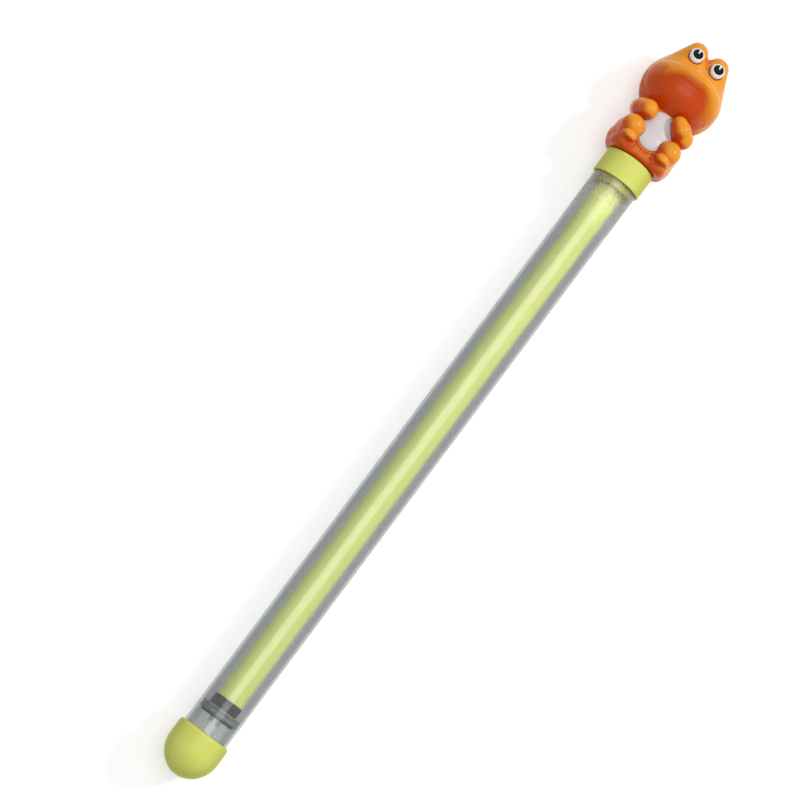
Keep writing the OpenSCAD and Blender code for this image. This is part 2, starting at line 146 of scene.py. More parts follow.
class FrogSizes(bpy.types.PropertyGroup):
    """Sizes of the frog, from the middle of its seat."""

    head_half: length_prop("Head half width", "Half the width of the head", 22.0)
    head_level: length_prop("Head level", "Height of the head's widest level", 44.4)
    head_rise: length_prop("Head rise", "Half height of the skull", 20.8)
    head_front: length_prop("Forehead reach", "Reach of the skull in front of the barrel's axis", 11.0)
    head_back: length_prop("Head back", "Reach of the head behind the barrel's axis", 16.95)
    jaw_reach: length_prop("Jaw reach", "Reach of the lower jaw in front of the barrel's axis", 17.7)
    jaw_level: length_prop("Jaw level", "Height of the jaw's middle", 44.6)
    jaw_rise: length_prop("Jaw rise", "Half height of the jaw", 17.0)
    eye_half_spread: length_prop("Eye spread", "Half the distance between the eyes", 6.6)
    eye_lead: length_prop("Eye lead", "How far the eye mounds lie in front of the barrel's axis", 4.0)
    eye_level: length_prop("Eye level", "Height of the eye mounds' centres", 65.5)
    mound_r: length_prop("Mound radius", "Radius of the eye mounds", 5.72)
    eye_r: length_prop("Eye radius", "Radius of the eye buttons", 4.0)
    eye_rise: length_prop("Eye rise", "How far the eye buttons stand out of their seats", 4.2)
    pupil_r: length_prop("Pupil radius", "Radius of the pupils", 2.75)
    belly_level: length_prop("Belly level", "Height of the belly panel's middle", 18.2)
    belly_half_w: length_prop("Belly half width", "Half the width of the belly panel", 9.3)
    belly_half_h: length_prop("Belly half height", "Half the height of the belly panel", 11.0)
    belly_t: length_prop("Belly thickness", "Thickness of the belly panel", 1.5)
    belly_proud: length_prop("Belly proud", "How far the belly panel stands proud of the body", 0.3)
    shell_wall: length_prop("Shell wall", "Wall of the hollow head", 2.2)
    grain: length_prop("Mesh grain", "Cell size of the frog's meshes", 0.42)
    eye_grain: length_prop("Eye grain", "Cell size of the eyes' meshes", 0.14)


class Colours(bpy.types.PropertyGroup):
    """Base colours of the finishes, as linear values."""

    orange: colour_prop("Orange", "Frog's moulded plastic", (0.87, 0.325, 0.02))
    # Painted shade colour for creases, undersides, the side away from the light and below the upper lip
    orange_shade: colour_prop("Deep orange", "Orange in creases and on undersides", (0.59, 0.062, 0.001))
    orange_worn: colour_prop("Worn orange", "Orange on rubbed edges", (0.92, 0.42, 0.08))
    lime: colour_prop("Lime", "Cap and collar", (0.71, 0.755, 0.145))
    # A shaded copy of the lime: painted shade for the guide inside the tube
    lime_shaded: colour_prop("Olive", "Guide in the tube's upper end", (0.43, 0.36, 0.03))
    lime_pale: colour_prop("Pale lime", "Scuffed lime", (0.75, 0.79, 0.28))
    # Painted shade where the lime is seen slantwise
    lime_slant_shade: colour_prop("Deep lime", "Lime where it is seen slantwise", (0.50, 0.49, 0.02))
    rod: colour_prop("Rod", "Plunger rod", (0.84, 0.89, 0.24))
    rod_dull: colour_prop("Dull rod", "Extrusion lines of the rod", (0.77, 0.83, 0.19))
    clear: colour_prop("Clear", "Clear barrel", (0.65, 0.67, 0.66))
    # Darker where seen slantwise: partly the longer path through the wall, partly painted shade on the tube's
    # sides
    clear_slant_shade: colour_prop("Clear side", "Clear barrel where it is seen slantwise", (0.39, 0.41, 0.42))
    clear_speck: colour_prop("Clear speck", "Specks and haze of the clear barrel", (0.9, 0.92, 0.86))
    white: colour_prop("White", "Belly", (0.66, 0.625, 0.64))
    eye_white: colour_prop("Eye white", "Eyes", (0.80, 0.77, 0.77))
    white_dull: colour_prop("Dull white", "Handled parts of the white pieces", (0.62, 0.58, 0.60))
    # Painted highlight along the white pieces' edges
    white_edge_highlight: colour_prop("White rim", "Edges of the white pieces", (0.84, 0.82, 0.81))
    rubber: colour_prop("Rubber", "Seal and gasket", (0.10, 0.105, 0.13))
    rubber_bloom: colour_prop("Rubber bloom", "Grey bloom on the rubber", (0.22, 0.23, 0.28))
    black: colour_prop("Black", "Hub, plate and pupils", (0.006, 0.006, 0.008))
    black_scuff: colour_prop("Black scuff", "Scuffs on the black pieces", (0.02, 0.02, 0.024))
    steel: colour_prop("Steel", "Screws and pin", (0.60, 0.60, 0.62))
    steel_dull: colour_prop("Dull steel", "Turning marks on the steel", (0.45, 0.45, 0.44))
    floor: colour_prop("Floor", "Studio floor", (0.80, 0.80, 0.80))


class StudioSizes(bpy.types.PropertyGroup):
    """Camera, lamps and floor."""

    lens: FloatProperty(name="Lens", description="Focal length", default=130.5, subtype="DISTANCE_CAMERA")
    distance: level_prop("Distance", "Camera to its target", 1.456, "LENGTH")
    drop: angle_prop("Drop", "How far the camera leans to the jet's end", 7.65)
    roll: angle_prop("Roll", "Turn of the barrel in the picture", 53.147)
    lean: angle_prop("Lean", "How far the camera leans to the frog's right", 4.0)
    target_x: level_prop("Target along", "Target from the jet's end", 0.2157, "LENGTH")
    target_y: level_prop("Target aside", "Target beside the barrel", 0.0218, "LENGTH")
    key_power: level_prop("Key", "Power of the key lamp", 20.0, "POWER")
    overhead_power: level_prop("Overhead", "Power of the wide lamp above", 21.0, "POWER")
    fill_level: level_prop("Fill", "Strength of the surrounding light", 0.42)
    floor_glow: level_prop("Floor glow", "What the floor adds to look white", 0.42)


def sizes(name):
    return getattr(bpy.context.scene, name)


# Shader maths


class Value:
    """A shader socket that takes part in Python sums; each operation adds its Math node."""

    def __init__(self, finish, socket):
        self.finish = finish
        self.socket = socket

    def _math(self, operation, first, second):
        return self.finish.node("ShaderNodeMath", {"operation": operation}, {0: first, 1: second})

    def __add__(self, other):
        return self._math("ADD", self, other)

    def __radd__(self, other):
        return self._math("ADD", other, self)

    def __mul__(self, other):
        return self._math("MULTIPLY", self, other)

    def __rmul__(self, other):
        return self._math("MULTIPLY", other, self)


class Finish:
    """One node material or world. node() adds any node: its type, settings, then inputs."""

    def __init__(self, owner):
        owner.use_nodes = True
        self.owner = owner
        self.tree = owner.node_tree
        self.tree.nodes.clear()

    def node(self, kind, settings=None, inputs=None, out=0):
        made = self.tree.nodes.new(kind)
        for key, setting in (settings or {}).items():
            setattr(made, key, setting)
        for key, given in (inputs or {}).items():
            socket = made.inputs[key]
            if isinstance(given, Value):
                self.tree.links.new(given.socket, socket)
            elif socket.type == "RGBA" and len(given) == 3:
                socket.default_value = (*given, 1.0)
            else:
                socket.default_value = given
        return Value(self, made.outputs[out]) if made.outputs else made

    def place(self, stretch=(1, 1, 1)):
        """Coordinates of the piece at rest, in metres, which ride with it."""
        object_place = self.node("ShaderNodeTexCoord", out="Object")
        return self.node("ShaderNodeVectorMath", {"operation": "MULTIPLY"}, {0: object_place, 1: stretch})

    def noise(self, grain, stretch=(1, 1, 1), detail=2.0):
        """Noise from 0 to 1 whose blotches are about grain metres across."""
        return self.node(
            "ShaderNodeTexNoise",
            {"noise_dimensions": "3D"},
            {"Vector": self.place(stretch), "Scale": 1 / grain, "Detail": detail, "Roughness": 0.55},
        )

    def spots(self, grain, spread, stretch=(1, 1, 1)):
        """Round specks: 1 at a speck's middle and 0 away from it."""
        distance = self.node(
            "ShaderNodeTexVoronoi", {"feature": "F1"}, {"Vector": self.place(stretch), "Scale": 1 / grain}
        )
        return self.step(distance, spread, 0.3 * spread)

    def step(self, value, start, end, low=0.0, high=1.0):
        return self.node(
            "ShaderNodeMapRange",
            {"interpolation_type": "SMOOTHSTEP"},
            {"Value": value, "From Min": start, "From Max": end, "To Min": low, "To Max": high},
        )

    def slant(self, start, end):
        """0 where the surface faces the camera, rising to 1 where it is seen slantwise."""
        facing = self.node("ShaderNodeLayerWeight", None, {"Blend": 0.5}, out="Facing")
        return self.step(facing, start, end)

    def attribute(self, name):
        return self.node("ShaderNodeAttribute", {"attribute_name": name}, out="Fac")

    def blend(self, share, first, second):
        """Mixes two colours."""
        return self.node("ShaderNodeMix", {"data_type": "RGBA"}, {0: share, 6: first, 7: second}, out=2)

    def bump(self, height, depth):
        inputs = {"Strength": 1.0, "Distance": depth, "Height": height}
        return self.node("ShaderNodeBump", None, inputs)

    def plastic(self, **inputs):
        """Principled shader, whose inputs are given by their names with _ for a space."""
        named = {key.replace("_", " "): given for key, given in inputs.items()}
        return self.node("ShaderNodeBsdfPrincipled", None, named)

    def show(self, shader):
        is_world = isinstance(self.owner, bpy.types.World)
        kind = "ShaderNodeOutputWorld" if is_world else "ShaderNodeOutputMaterial"
        self.node(kind, None, {"Surface": shader})
        return self.owner


def finish_named(name):
    return Finish(bpy.data.materials.new(name))


def orange_plastic(tint):
    """Glossy moulded plastic with painted shade, deeper in its creases, on its undersides, on the side away
    from the light and below its upper lip; paler on its rubbed edges.
    """
    f = finish_named("orange_plastic")
    crease = f.step(f.attribute("crease"), 0.05, 0.75)
    cloud = f.noise(9 * MM)
    speck = f.noise(0.7 * MM, detail=3.0)
    # Painted shade: creases, undersides, the side away from the light and the lip's shadow turn the orange
    # deeper
    deep = f.step(crease + 1.3 * f.attribute("under") + 0.25 * cloud, 0.15, 1.1)
    worn = f.step(f.attribute("edge") + 0.25 * speck, 0.42, 0.8)
    skin = f.blend(deep, tint.orange, tint.orange_shade)
    skin = f.blend(0.25 * worn, skin, tint.orange_worn)
    bsdf = f.plastic(
        Base_Color=skin,
        Roughness=0.2 + 0.08 * cloud + 0.04 * speck,
        IOR=1.5,
        Specular_IOR_Level=0.2,
        Normal=f.bump(0.6 * cloud + 0.4 * speck, 0.05 * MM),
    )
    return f.show(bsdf)


def lime_plastic(name, tone, pale, deep):
    """Satin moulded plastic with faint flow marks and rubbed edges, and painted shade where it is seen
    slantwise.
    """
    f = finish_named(name)
    flow = f.noise(7 * MM, (0.5, 1, 1))
    speck = f.noise(0.5 * MM, detail=3.0)
    worn = f.step(f.attribute("edge") * (0.6 + 0.6 * speck), 0.3, 0.9)
    skin = f.blend(f.step(flow, 0.35, 0.75, 0.0, 0.45), tone, pale)
    skin = f.blend(0.4 * worn, skin, pale)
    # Painted shade where the surface is seen slantwise
    skin = f.blend(0.8 * f.slant(0.08, 0.65), skin, deep)
    bsdf = f.plastic(
        Base_Color=skin,
        Roughness=0.3 + 0.12 * flow + 0.08 * speck,
        IOR=1.5,
        Subsurface_Weight=0.2,
        Subsurface_Radius=(0.6, 0.7, 0.15),
        Subsurface_Scale=2 * MM,
        Specular_IOR_Level=0.3,
        Normal=f.bump(0.5 * flow + 0.5 * speck, 0.04 * MM),
    )
    return f.show(bsdf)


def rod_plastic(tint):
    """Extruded plastic with fine lines along its length."""
    f = finish_named("rod_plastic")
    lines = f.noise(0.8 * MM, (0.02, 1, 1), detail=3.0)
    cloud = f.noise(14 * MM, (0.4, 1, 1))
    skin = f.blend(f.step(0.6 * lines + 0.4 * cloud, 0.35, 0.7), tint.rod, tint.rod_dull)
    bsdf = f.plastic(
        Base_Color=skin,
        Roughness=0.34 + 0.14 * lines + 0.1 * cloud,
        IOR=1.49,
        Subsurface_Weight=0.25,
        Subsurface_Radius=(0.7, 0.8, 0.3),
        Subsurface_Scale=3 * MM,
        Normal=f.bump(lines, 0.05 * MM),
    )
    return f.show(bsdf)


def clear_plastic(tint, collar_x):
    """Clear tube with fine specks, hazy where wet breath gathers under the collar."""
    f = finish_named("clear_plastic")
    along = f.node("ShaderNodeSeparateXYZ", None, {0: f.place()}, out="X")
    haze = f.step(along, collar_x - 34 * MM, collar_x - 12 * MM)
    beads = f.spots(2.2 * MM, 0.3) * haze
    specks = f.spots(3.2 * MM, 0.13)
    streak = f.noise(2.2 * MM, (0.03, 1, 1), detail=2.0)
    rough = 0.07 + 0.06 * streak + 0.16 * haze + 0.05 * beads + 0.2 * specks
    # Darker where the wall is seen slantwise: partly the longer path through the wall, partly painted shade
    # on the tube's sides
    wall = f.blend(f.slant(0.12, 0.36), tint.clear, tint.clear_slant_shade)
    glass = f.plastic(
        Base_Color=f.blend(0.5 * specks + 0.2 * haze, wall, tint.clear_speck),
        Roughness=rough,
        IOR=1.46,
        Specular_IOR_Level=0.1,
        Transmission_Weight=0.96,
        Normal=f.bump(0.15 * streak + beads + 0.7 * specks, 0.08 * MM),
    )
    lit = f.node("ShaderNodeBsdfTransparent", None, {"Color": (0.95, 0.96, 0.95, 1)})
    shadow = f.node("ShaderNodeLightPath", out="Is Shadow Ray")
    return f.show(f.node("ShaderNodeMixShader", None, {0: shadow, 1: glass, 2: lit}))


def white_plastic(name, tone, dull, rim):
    """Gloss white plastic, dulled in patches by handling, with a painted highlight along its edges."""
    f = finish_named(name)
    cloud = f.noise(4 * MM, detail=3.0)
    speck = f.noise(0.6 * MM, detail=3.0)
    skin = f.blend(f.step(cloud, 0.4, 0.75, 0.0, 0.6), tone, dull)
    # Painted highlight along the edges
    skin = f.blend(f.step(f.attribute("edge"), 0.2, 0.6), skin, rim)
    bsdf = f.plastic(
        Base_Color=skin,
        Roughness=0.3 + 0.16 * cloud + 0.06 * speck,
        IOR=1.5,
        Subsurface_Weight=0.15,
        Subsurface_Radius=(1.0, 0.8, 0.7),
        Subsurface_Scale=1.5 * MM,
        Normal=f.bump(0.6 * cloud + 0.4 * speck, 0.03 * MM),
    )
    return f.show(bsdf)


def black_rubber(tint):
    """Moulded rubber with a grey bloom."""
    f = finish_named("black_rubber")
    bloom = f.noise(2.5 * MM, detail=4.0)
    skin = f.blend(f.step(bloom, 0.35, 0.75), tint.rubber, tint.rubber_bloom)
    bsdf = f.plastic(
        Base_Color=skin,
        Roughness=0.42 + 0.2 * bloom,
        IOR=1.5,
        Sheen_Weight=0.25,
        Normal=f.bump(bloom, 0.06 * MM),
    )
    return f.show(bsdf)


def black_plastic(tint, name, gloss):
    """Black plastic with fine scuffs."""
    f = finish_named(name)
    scuff = f.noise(0.9 * MM, (0.3, 1, 1), detail=3.0)
    skin = f.blend(f.step(scuff, 0.5, 0.8, 0.0, 0.6), tint.black, tint.black_scuff)
    bsdf = f.plastic(
        Base_Color=skin,
        Roughness=gloss + 0.12 * scuff,
        IOR=1.5,
        Specular_IOR_Level=0.15,
        Normal=f.bump(scuff, 0.02 * MM),
    )
    return f.show(bsdf)


def screw_steel(tint):
    """Zinc-plated steel with turning marks."""
    f = finish_named("screw_steel")
    turned = f.noise(0.4 * MM, (1, 0.15, 1), detail=3.0)
    skin = f.blend(turned, tint.steel, tint.steel_dull)
    bsdf = f.plastic(
        Base_Color=skin, Metallic=1.0, Roughness=0.22 + 0.2 * turned, Normal=f.bump(turned, 0.02 * MM)
    )
    return f.show(bsdf)


FINISHES = {}


def finish_of(slot):
    """The finish of a material slot, made once."""
    if slot not in FINISHES:
        tint = sizes("squirter_colours")
        makers = {
            "orange_plastic": orange_plastic,
            "lime_plastic": lambda t: lime_plastic("lime_plastic", t.lime, t.lime_pale, t.lime_slant_shade),
            # The guide gets the shaded copy of the lime, which is painted shade
            "guide_plastic": lambda t: lime_plastic("guide_plastic", t.lime_shaded, t.lime, t.lime_shaded),
            "rod_plastic": rod_plastic,
            "clear_plastic": lambda t: clear_plastic(t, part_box("collar")[0].x),
            "white_plastic": lambda t: white_plastic("white_plastic", t.white, t.white_dull, t.white_edge_highlight),
            "eye_plastic": lambda t: white_plastic("eye_plastic", t.eye_white, t.white, t.white_edge_highlight),
            "black_rubber": black_rubber,
            "black_plastic": lambda t: black_plastic(t, "black_plastic", 0.24),
            "pupil_plastic": lambda t: black_plastic(t, "pupil_plastic", 0.08),
            "screw_steel": screw_steel,
        }
        FINISHES[slot] = makers[slot](tint)
    return FINISHES[slot]


def body_of(node):
    return next(body for body, nodes in frame["record"]["behaviour"]["bodies"].items() if node in nodes)


def slot_of(node):
    return next(sub["material_slot"] for sub in frame["record"]["subparts"] if sub["node"] == node)


def dress(name, verts, faces, node, marks=None, finish=None):
    """A smooth piece that stands for a CAD node, with that node's finish and body."""
    mesh = bpy.data.meshes.new(name)
    mesh.from_pydata(verts, [], faces)
    mesh.validate()
    for mark, values in (marks or {}).items():
        layer = mesh.attributes.new(mark, "FLOAT", "POINT")
        layer.data.foreach_set("value", np.asarray(values, np.float32))
    mesh.polygons.foreach_set("use_smooth", [True] * len(mesh.polygons))
    mesh.update()
    piece = bpy.data.objects.new(name, mesh)
    bpy.context.scene.collection.objects.link(piece)
    mesh.materials.append(finish_of(finish or slot_of(node)))
    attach(piece, body_of(node))
    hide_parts(node)
    slot_of(node)
    return piece


# Turned pieces

TURN_STEPS = 128
ARC_STEPS = 6
DOME_STEPS = 26
VAULT_STEPS = 14
SUPPORT = 0.25 * MM
POLE_REACH = 1e-7

# Fillets of each outline's corners in turn, and the jet's flared mouth as (inward, outward), in millimetres
TUBE_FILLETS = (0.3, 0.3, 0.3, 0.3)
SOCKET_FILLETS = (0.05, 0.2, 0.2)
BOSS_FILLETS = (0.3, 0.2)
COLLAR_FILLETS = (0.25, 0.2, 0.3, 0.4, 0.7, 0.5)
SEAL_FILLETS = (0.15, 0.15, 0.5, 0.3, 0.4, 0.3, 0.5)
HUB_FILLETS = (0, 0, 0.15, 0.2, 0.1, 0.5, 0.8, 0.1, 0.6, 0)
JET_MOUTH = [(0.45, 0), (0.12, 0.14)]
JET_FLARE = 0.5


def outline_points(corners):
    """Points of a closed outline whose corners are (along, radius, fillet), and their edge marks."""
    points, marks = [], []
    count = len(corners)
    for i, (x, r, fillet) in enumerate(corners):
        here = Vector((x, r))
        before, after = Vector(corners[i - 1][:2]), Vector(corners[(i + 1) % count][:2])
        if fillet <= 0:
            points.append(here)
            marks.append(0.0)
            continue
        to_before, to_after = (before - here).normalized(), (after - here).normalized()
        half = to_before.angle(to_after) / 2
        trim = fillet / math.tan(half)
        centre = here + (to_before + to_after).normalized() * fillet / math.sin(half)
        start, end = here + to_before * trim - centre, here + to_after * trim - centre
        sweep = math.pi - 2 * half
        side = start.orthogonal() if start.orthogonal().dot(end) > 0 else -start.orthogonal()
        if (before - here).length > trim + 4 * SUPPORT:
            points.append(here + to_before * (trim + SUPPORT))
            marks.append(0.0)
        for k in range(ARC_STEPS + 1):
            turn = sweep * k / ARC_STEPS
            points.append(centre + start * math.cos(turn) + side * math.sin(turn))
            marks.append(math.sin(math.pi * k / ARC_STEPS))
        if (after - here).length > trim + 4 * SUPPORT:
            points.append(here + to_after * (trim + SUPPORT))
            marks.append(0.0)
    return points, marks


def filleted(points, fillets):
    """Corners of an outline: its points with their fillets."""
    return [(x, r, fillet * MM) for (x, r), fillet in zip(points, fillets)]


def arc_corners(centre, radius, start, end, count):
    """Corners with no fillet on an arc of a turned outline, angles from the barrel's axis."""
    turns = [start + (end - start) * k / count for k in range(count + 1)]
    return [(centre[0] + radius * math.cos(t), centre[1] + radius * math.sin(t), 0.0) for t in turns]


def turn(name, corners, node):
    """Turns a closed outline round the barrel's axis."""
    points, marks = outline_points(corners)
    area = sum(a.x * b.y - b.x * a.y for a, b in zip(points, points[1:] + points[:1]))
    if area < 0:
        points, marks = points[::-1], marks[::-1]
    count = len(points)
    verts = []
    for k in range(TURN_STEPS):
        angle = 2 * math.pi * k / TURN_STEPS
        c, s = math.cos(angle), math.sin(angle)
        verts += [(p.x, AXIS_Y + p.y * c, AXIS_Z + p.y * s) for p in points]
    faces = []
    for k in range(TURN_STEPS):
        a, b = k * count, (k + 1) % TURN_STEPS * count
        faces += [(a + i, a + (i + 1) % count, b + (i + 1) % count, b + i) for i in range(count)]
    piece = dress(name, verts, faces, node, {"edge": marks * TURN_STEPS})
    merge_poles(piece)
    return piece


def merge_poles(piece):
    """Joins the points that a turned outline has on the axis itself."""
    made = bmesh.new()
    made.from_mesh(piece.data)
    bmesh.ops.remove_doubles(made, verts=made.verts, dist=POLE_REACH)
    made.to_mesh(piece.data)
    made.free()


# Distance fields, in millimetres, of points given as an array for each direction


def oval(q, place, half):
    near = [(a - b) / h for a, b, h in zip(q, place, half)]
    k0 = np.sqrt(sum(n * n for n in near))
    k1 = np.sqrt(sum((n / h) ** 2 for n, h in zip(near, half)))
    return k0 * (k0 - 1) / np.maximum(k1, 1e-5)


def limb(q, start, end):
    """A cone between two balls, each (across, forward, up, radius)."""
    axis = [b - a for a, b in zip(start[:3], end[:3])]
    length = math.sqrt(sum(a * a for a in axis))
    axis = [a / length for a in axis]
    apart = [a - b for a, b in zip(q, start)]
    along = sum(a * b for a, b in zip(apart, axis))
    out = np.sqrt(np.maximum(sum(a * a for a in apart) - along * along, 0))
    slope = (start[3] - end[3]) / length
    at = np.clip(along - slope / math.sqrt(1 - slope * slope) * out, 0, length)
    return np.hypot(out, along - at) - (start[3] - slope * at)


def soft_box(q, place, half, r):
    """A box with rounded edges: half is the size of its core, r is added all round."""
    away = [np.abs(a - b) - h for a, b, h in zip(q, place, half)]
    outside = np.sqrt(sum(np.maximum(a, 0) ** 2 for a in away))
    return outside + np.minimum(np.maximum(np.maximum(away[0], away[1]), away[2]), 0) - r


def join(a, b, k):
    """Both forms, blended over k."""
    near = np.maximum(k - np.abs(a - b), 0) / k
    return np.minimum(a, b) - near * near * k / 4


def keep(a, b, k):
    """What lies in both forms, with edges rounded over k."""
    return -join(-a, -b, k)


def cut(a, b, k):
    """The first form without the second, with edges rounded over k."""
    return keep(a, -b, k)


def ease(x, start, end):
    t = np.clip((x - start) / (end - start), 0, 1)
    return t * t * (3 - 2 * t)


SMOOTH_ROUNDS = 3
LEAST_SLOPE = 0.2
CELL_CORNERS = np.array([(i, j, k) for i in (0, 1) for j in (0, 1) for k in (0, 1)])
CELL_EDGES = [
    (a, b)
    for a in range(len(CELL_CORNERS))
    for b in range(a + 1, len(CELL_CORNERS))
    if np.abs(CELL_CORNERS[a] - CELL_CORNERS[b]).sum() == 1
]


def skin_of(field, low, high, grain):
    """Closed mesh round a distance field: a point in each cell that the surface crosses, drawn onto it."""
    counts = [int(math.ceil((h - l) / grain)) + 1 for l, h in zip(low, high)]
    ticks = [l + grain * np.arange(n) for l, n in zip(low, counts)]
    values = field(np.meshgrid(*ticks, indexing="ij", sparse=True))
    inside = values < 0
    filled = sum(
        inside[i : counts[0] - 1 + i, j : counts[1] - 1 + j, k : counts[2] - 1 + k].astype(np.int8)
        for i, j, k in CELL_CORNERS
    )
    crossed = (filled > 0) & (filled < len(CELL_CORNERS))
    number = np.full(crossed.shape, -1)
    number[crossed] = np.arange(crossed.sum())
    cells = np.argwhere(crossed)
    at_corner = [values[tuple((cells + corner).T)] for corner in CELL_CORNERS]
    total, hits = np.zeros((len(cells), 3)), np.zeros(len(cells))
    for a, b in CELL_EDGES:
        va, vb = at_corner[a], at_corner[b]
        cross = (va < 0) != (vb < 0)
        share = np.where(cross, va / np.where(cross, va - vb, 1), 0)
        spot = CELL_CORNERS[a] + share[:, None] * (CELL_CORNERS[b] - CELL_CORNERS[a])
        total += spot * cross[:, None]
        hits += cross
    points = np.array(low) + grain * (cells + total / hits[:, None])
    faces = []
    for axis in range(3):
        one, two = (axis + 1) % 3, (axis + 2) % 3
        first = np.take(inside, range(counts[axis] - 1), axis)
        change = first != np.take(inside, range(1, counts[axis]), axis)
        spots = np.argwhere(change)
        spots = spots[(spots[:, one] > 0) & (spots[:, two] > 0)]
        spots = spots[(spots[:, one] < counts[one] - 1) & (spots[:, two] < counts[two] - 1)]
        around = []
        for back_one, back_two in ((1, 1), (0, 1), (0, 0), (1, 0)):
            cell = spots.copy()
            cell[:, one] -= back_one
            cell[:, two] -= back_two
            around.append(number[tuple(cell.T)])
        quad = np.stack(around, 1)
        outward = first[tuple(spots.T)]
        faces.append(np.where(outward[:, None], quad, quad[:, ::-1]))
    faces = np.concatenate(faces)
    for _ in range(SMOOTH_ROUNDS):
        points = draw_in(field, even_out(points, faces), grain)
    return points, faces


def even_out(points, faces):
    """Moves each point halfway to the middle of its neighbours."""
    total, hits = np.zeros_like(points), np.zeros(len(points))
    for k in range(4):
        for other in (faces[:, (k + 1) % 4], faces[:, k - 1]):
            for axis in range(3):
                total[:, axis] += np.bincount(faces[:, k], points[other, axis], len(points))
            hits += np.bincount(faces[:, k], minlength=len(points))
    return points / 2 + total / hits[:, None] / 2


def slope_of(field, points, reach=0.02):
    """Value and gradient of a field at points."""
    value = field(tuple(points.T))
    slope = np.empty_like(points)
    for axis in range(3):
        moved = points.copy()
        moved[:, axis] += reach
        slope[:, axis] = (field(tuple(moved.T)) - value) / reach
    return value, slope


def draw_in(field, points, grain):
    """Draws points onto the surface of a field."""
    value, slope = slope_of(field, points)
    steep = np.maximum((slope * slope).sum(1), LEAST_SLOPE)
    move = np.clip(value / steep, -grain / 2, grain / 2)
    return points - move[:, None] * slope


# Marks for the finishes: depths in millimetres, the direction of the light that the sides with painted shade
# face away from, and the spans in which a mark starts and ends to change

CREASE_REACH = 1.6
EDGE_REACH = 0.5
SIDE_SHADE_LIGHT = (0.72, -0.05, 0.69)
SIDE_SHADE_SHARE = 0.65
SIDE_SHADE_SPAN = (0.0, 0.95)
SIDE_SHADE_TOP = (46, 58)
UNDERSIDE_SPAN = (0.2, 0.95)


def crease_marks(field, points):
    """How far each point lies in a crease, on an edge and under painted shade (its undersides and the side
    that faces away from the light), from 0 to 1.
    """
    slope = slope_of(field, points)[1]
    normal = slope / np.maximum(np.linalg.norm(slope, axis=1), 1e-6)[:, None]
    crease = 1 - field(tuple((points + CREASE_REACH * normal).T)) / CREASE_REACH
    edge = 1 + field(tuple((points - EDGE_REACH * normal).T)) / EDGE_REACH
    # Painted shade on the side that faces away from the light, fading out towards the top of the head
    aside = SIDE_SHADE_SHARE * ease(-normal @ np.array(SIDE_SHADE_LIGHT), *SIDE_SHADE_SPAN)
    aside = aside * (1 - ease(points[:, 2], *SIDE_SHADE_TOP))
    under = np.maximum(ease(-normal[:, 2], *UNDERSIDE_SPAN), aside)
    return {"crease": np.clip(crease, 0, 1), "edge": np.clip(edge, 0, 1), "under": under}


# The frog, in millimetres: places are (across, forward, up) from the middle of its seat, its own left side
# positive. A limb's balls are places with a radius, and a pair that ease() takes is where a change starts
# and ends.

RIGHT_ARM = [(-12.5, 1.5, 25.2, 5.8), (-12.2, 7.5, 24.2, 5.6), (-10.4, 12.6, 24.4, 5.2)]
LEFT_ARM = [(12.4, 2.2, 24.8, 5.8), (12.9, 9.2, 23.8, 5.3), (9.6, 12.4, 26.1, 4.9), (7.0, 12.8, 28.0, 4.2)]
ARM_BLEND = 1.0
THIGH = [(11.5, -0.8, 7.1, 7.1), (11.9, 2.0, 12.2, 6.6), (11.5, 11.8, 13.0, 5.6), (11.2, 10.4, 7.6, 4.8)]
THIGH_BONES = [(0, 2), (1, 2), (2, 3), (0, 3)]
THIGH_BLEND = 1.5
FOOT = [(10.9, 8.1, 6.6, 4.3), (10.6, 13.8, 6.7, 4.3)]
FOOT_SOLE = 4.5
FOOT_ROUND = 2.6
FOOT_BLEND = 0.3
LIMB_BLEND = 0.5
LIMB_ROOT = (0.7, 2.3)
LIMB_ROOT_SPAN = (2, 7)

TORSO_LOW = ((0, -0.25, 12.0), (16.5, 13.75, 12.0))
TORSO_HIGH = ((0, -0.25, 24.0), (15.2, 11.55, 9.0))
TORSO_BLEND = 5.0
BASE_PLACE = (0, 0.3, 0)
BASE_CORE = (9.4, 6.1, 0)
BASE_CORNER = 7.0
BASE_LEVEL = 3.4
BASE_HALF = 4.2
BASE_EDGE = 5.0
BASE_BLEND = 1.2
FOLDS = [(1.1, 0.4, 0.55), (2.5, 0.45, 0.4)]
FOLD_FRONT = (3, 7)
FOLD_TOP = (10, 13)
BELLY_EDGE = 0.5
BELLY_TRIM_EDGE = 0.3
BELLY_BACK = 3.0
NECK_BLEND = 0.6
SEAT_EDGE = 1.2

BROW_ROOT = (7.2, -2.4, 46.0, 14.3)
BROW_BLEND = 3.4
HEAD_BLEND = (0.1, 2.4)
BROW_SPAN = (-4, 6)
CHEEK_SPAN = (0, 8)
JAW_WIDTH_SHARE = 0.98
LIP_TOP = (56.6, 5.4)
LIP_BOW = 18.3
LIP_LOW = (44.5, 6.4)
LIP_FALL = (6, 20)
LIP_SWELL = (3.7, 1.9)
LIP_THINNING = (4, 18)
LIP_PEAK = 0.4
LIP_FRONT = (0, 9)
LIP_FADE = (15, 21)
LIP_STEP = 0.35
LIP_STEP_RISE = (-0.2, 0.3)
LIP_STEP_TOP = (0, 0.9)
LIP_STEP_FADE = (8, 14)
MOUTH_EDGE = 0.22
MOUTH_SINK = 0.45
MOUTH_LINE = 0.3
MOUTH_FADE = (7, 12)
MOUTH_FRONT = (3, 6)
CORNER_BUMPS = [(17.3, 39.0, 0.25), (18.4, 37.4, 0.2)]
CORNER_BUMP_R = 0.9
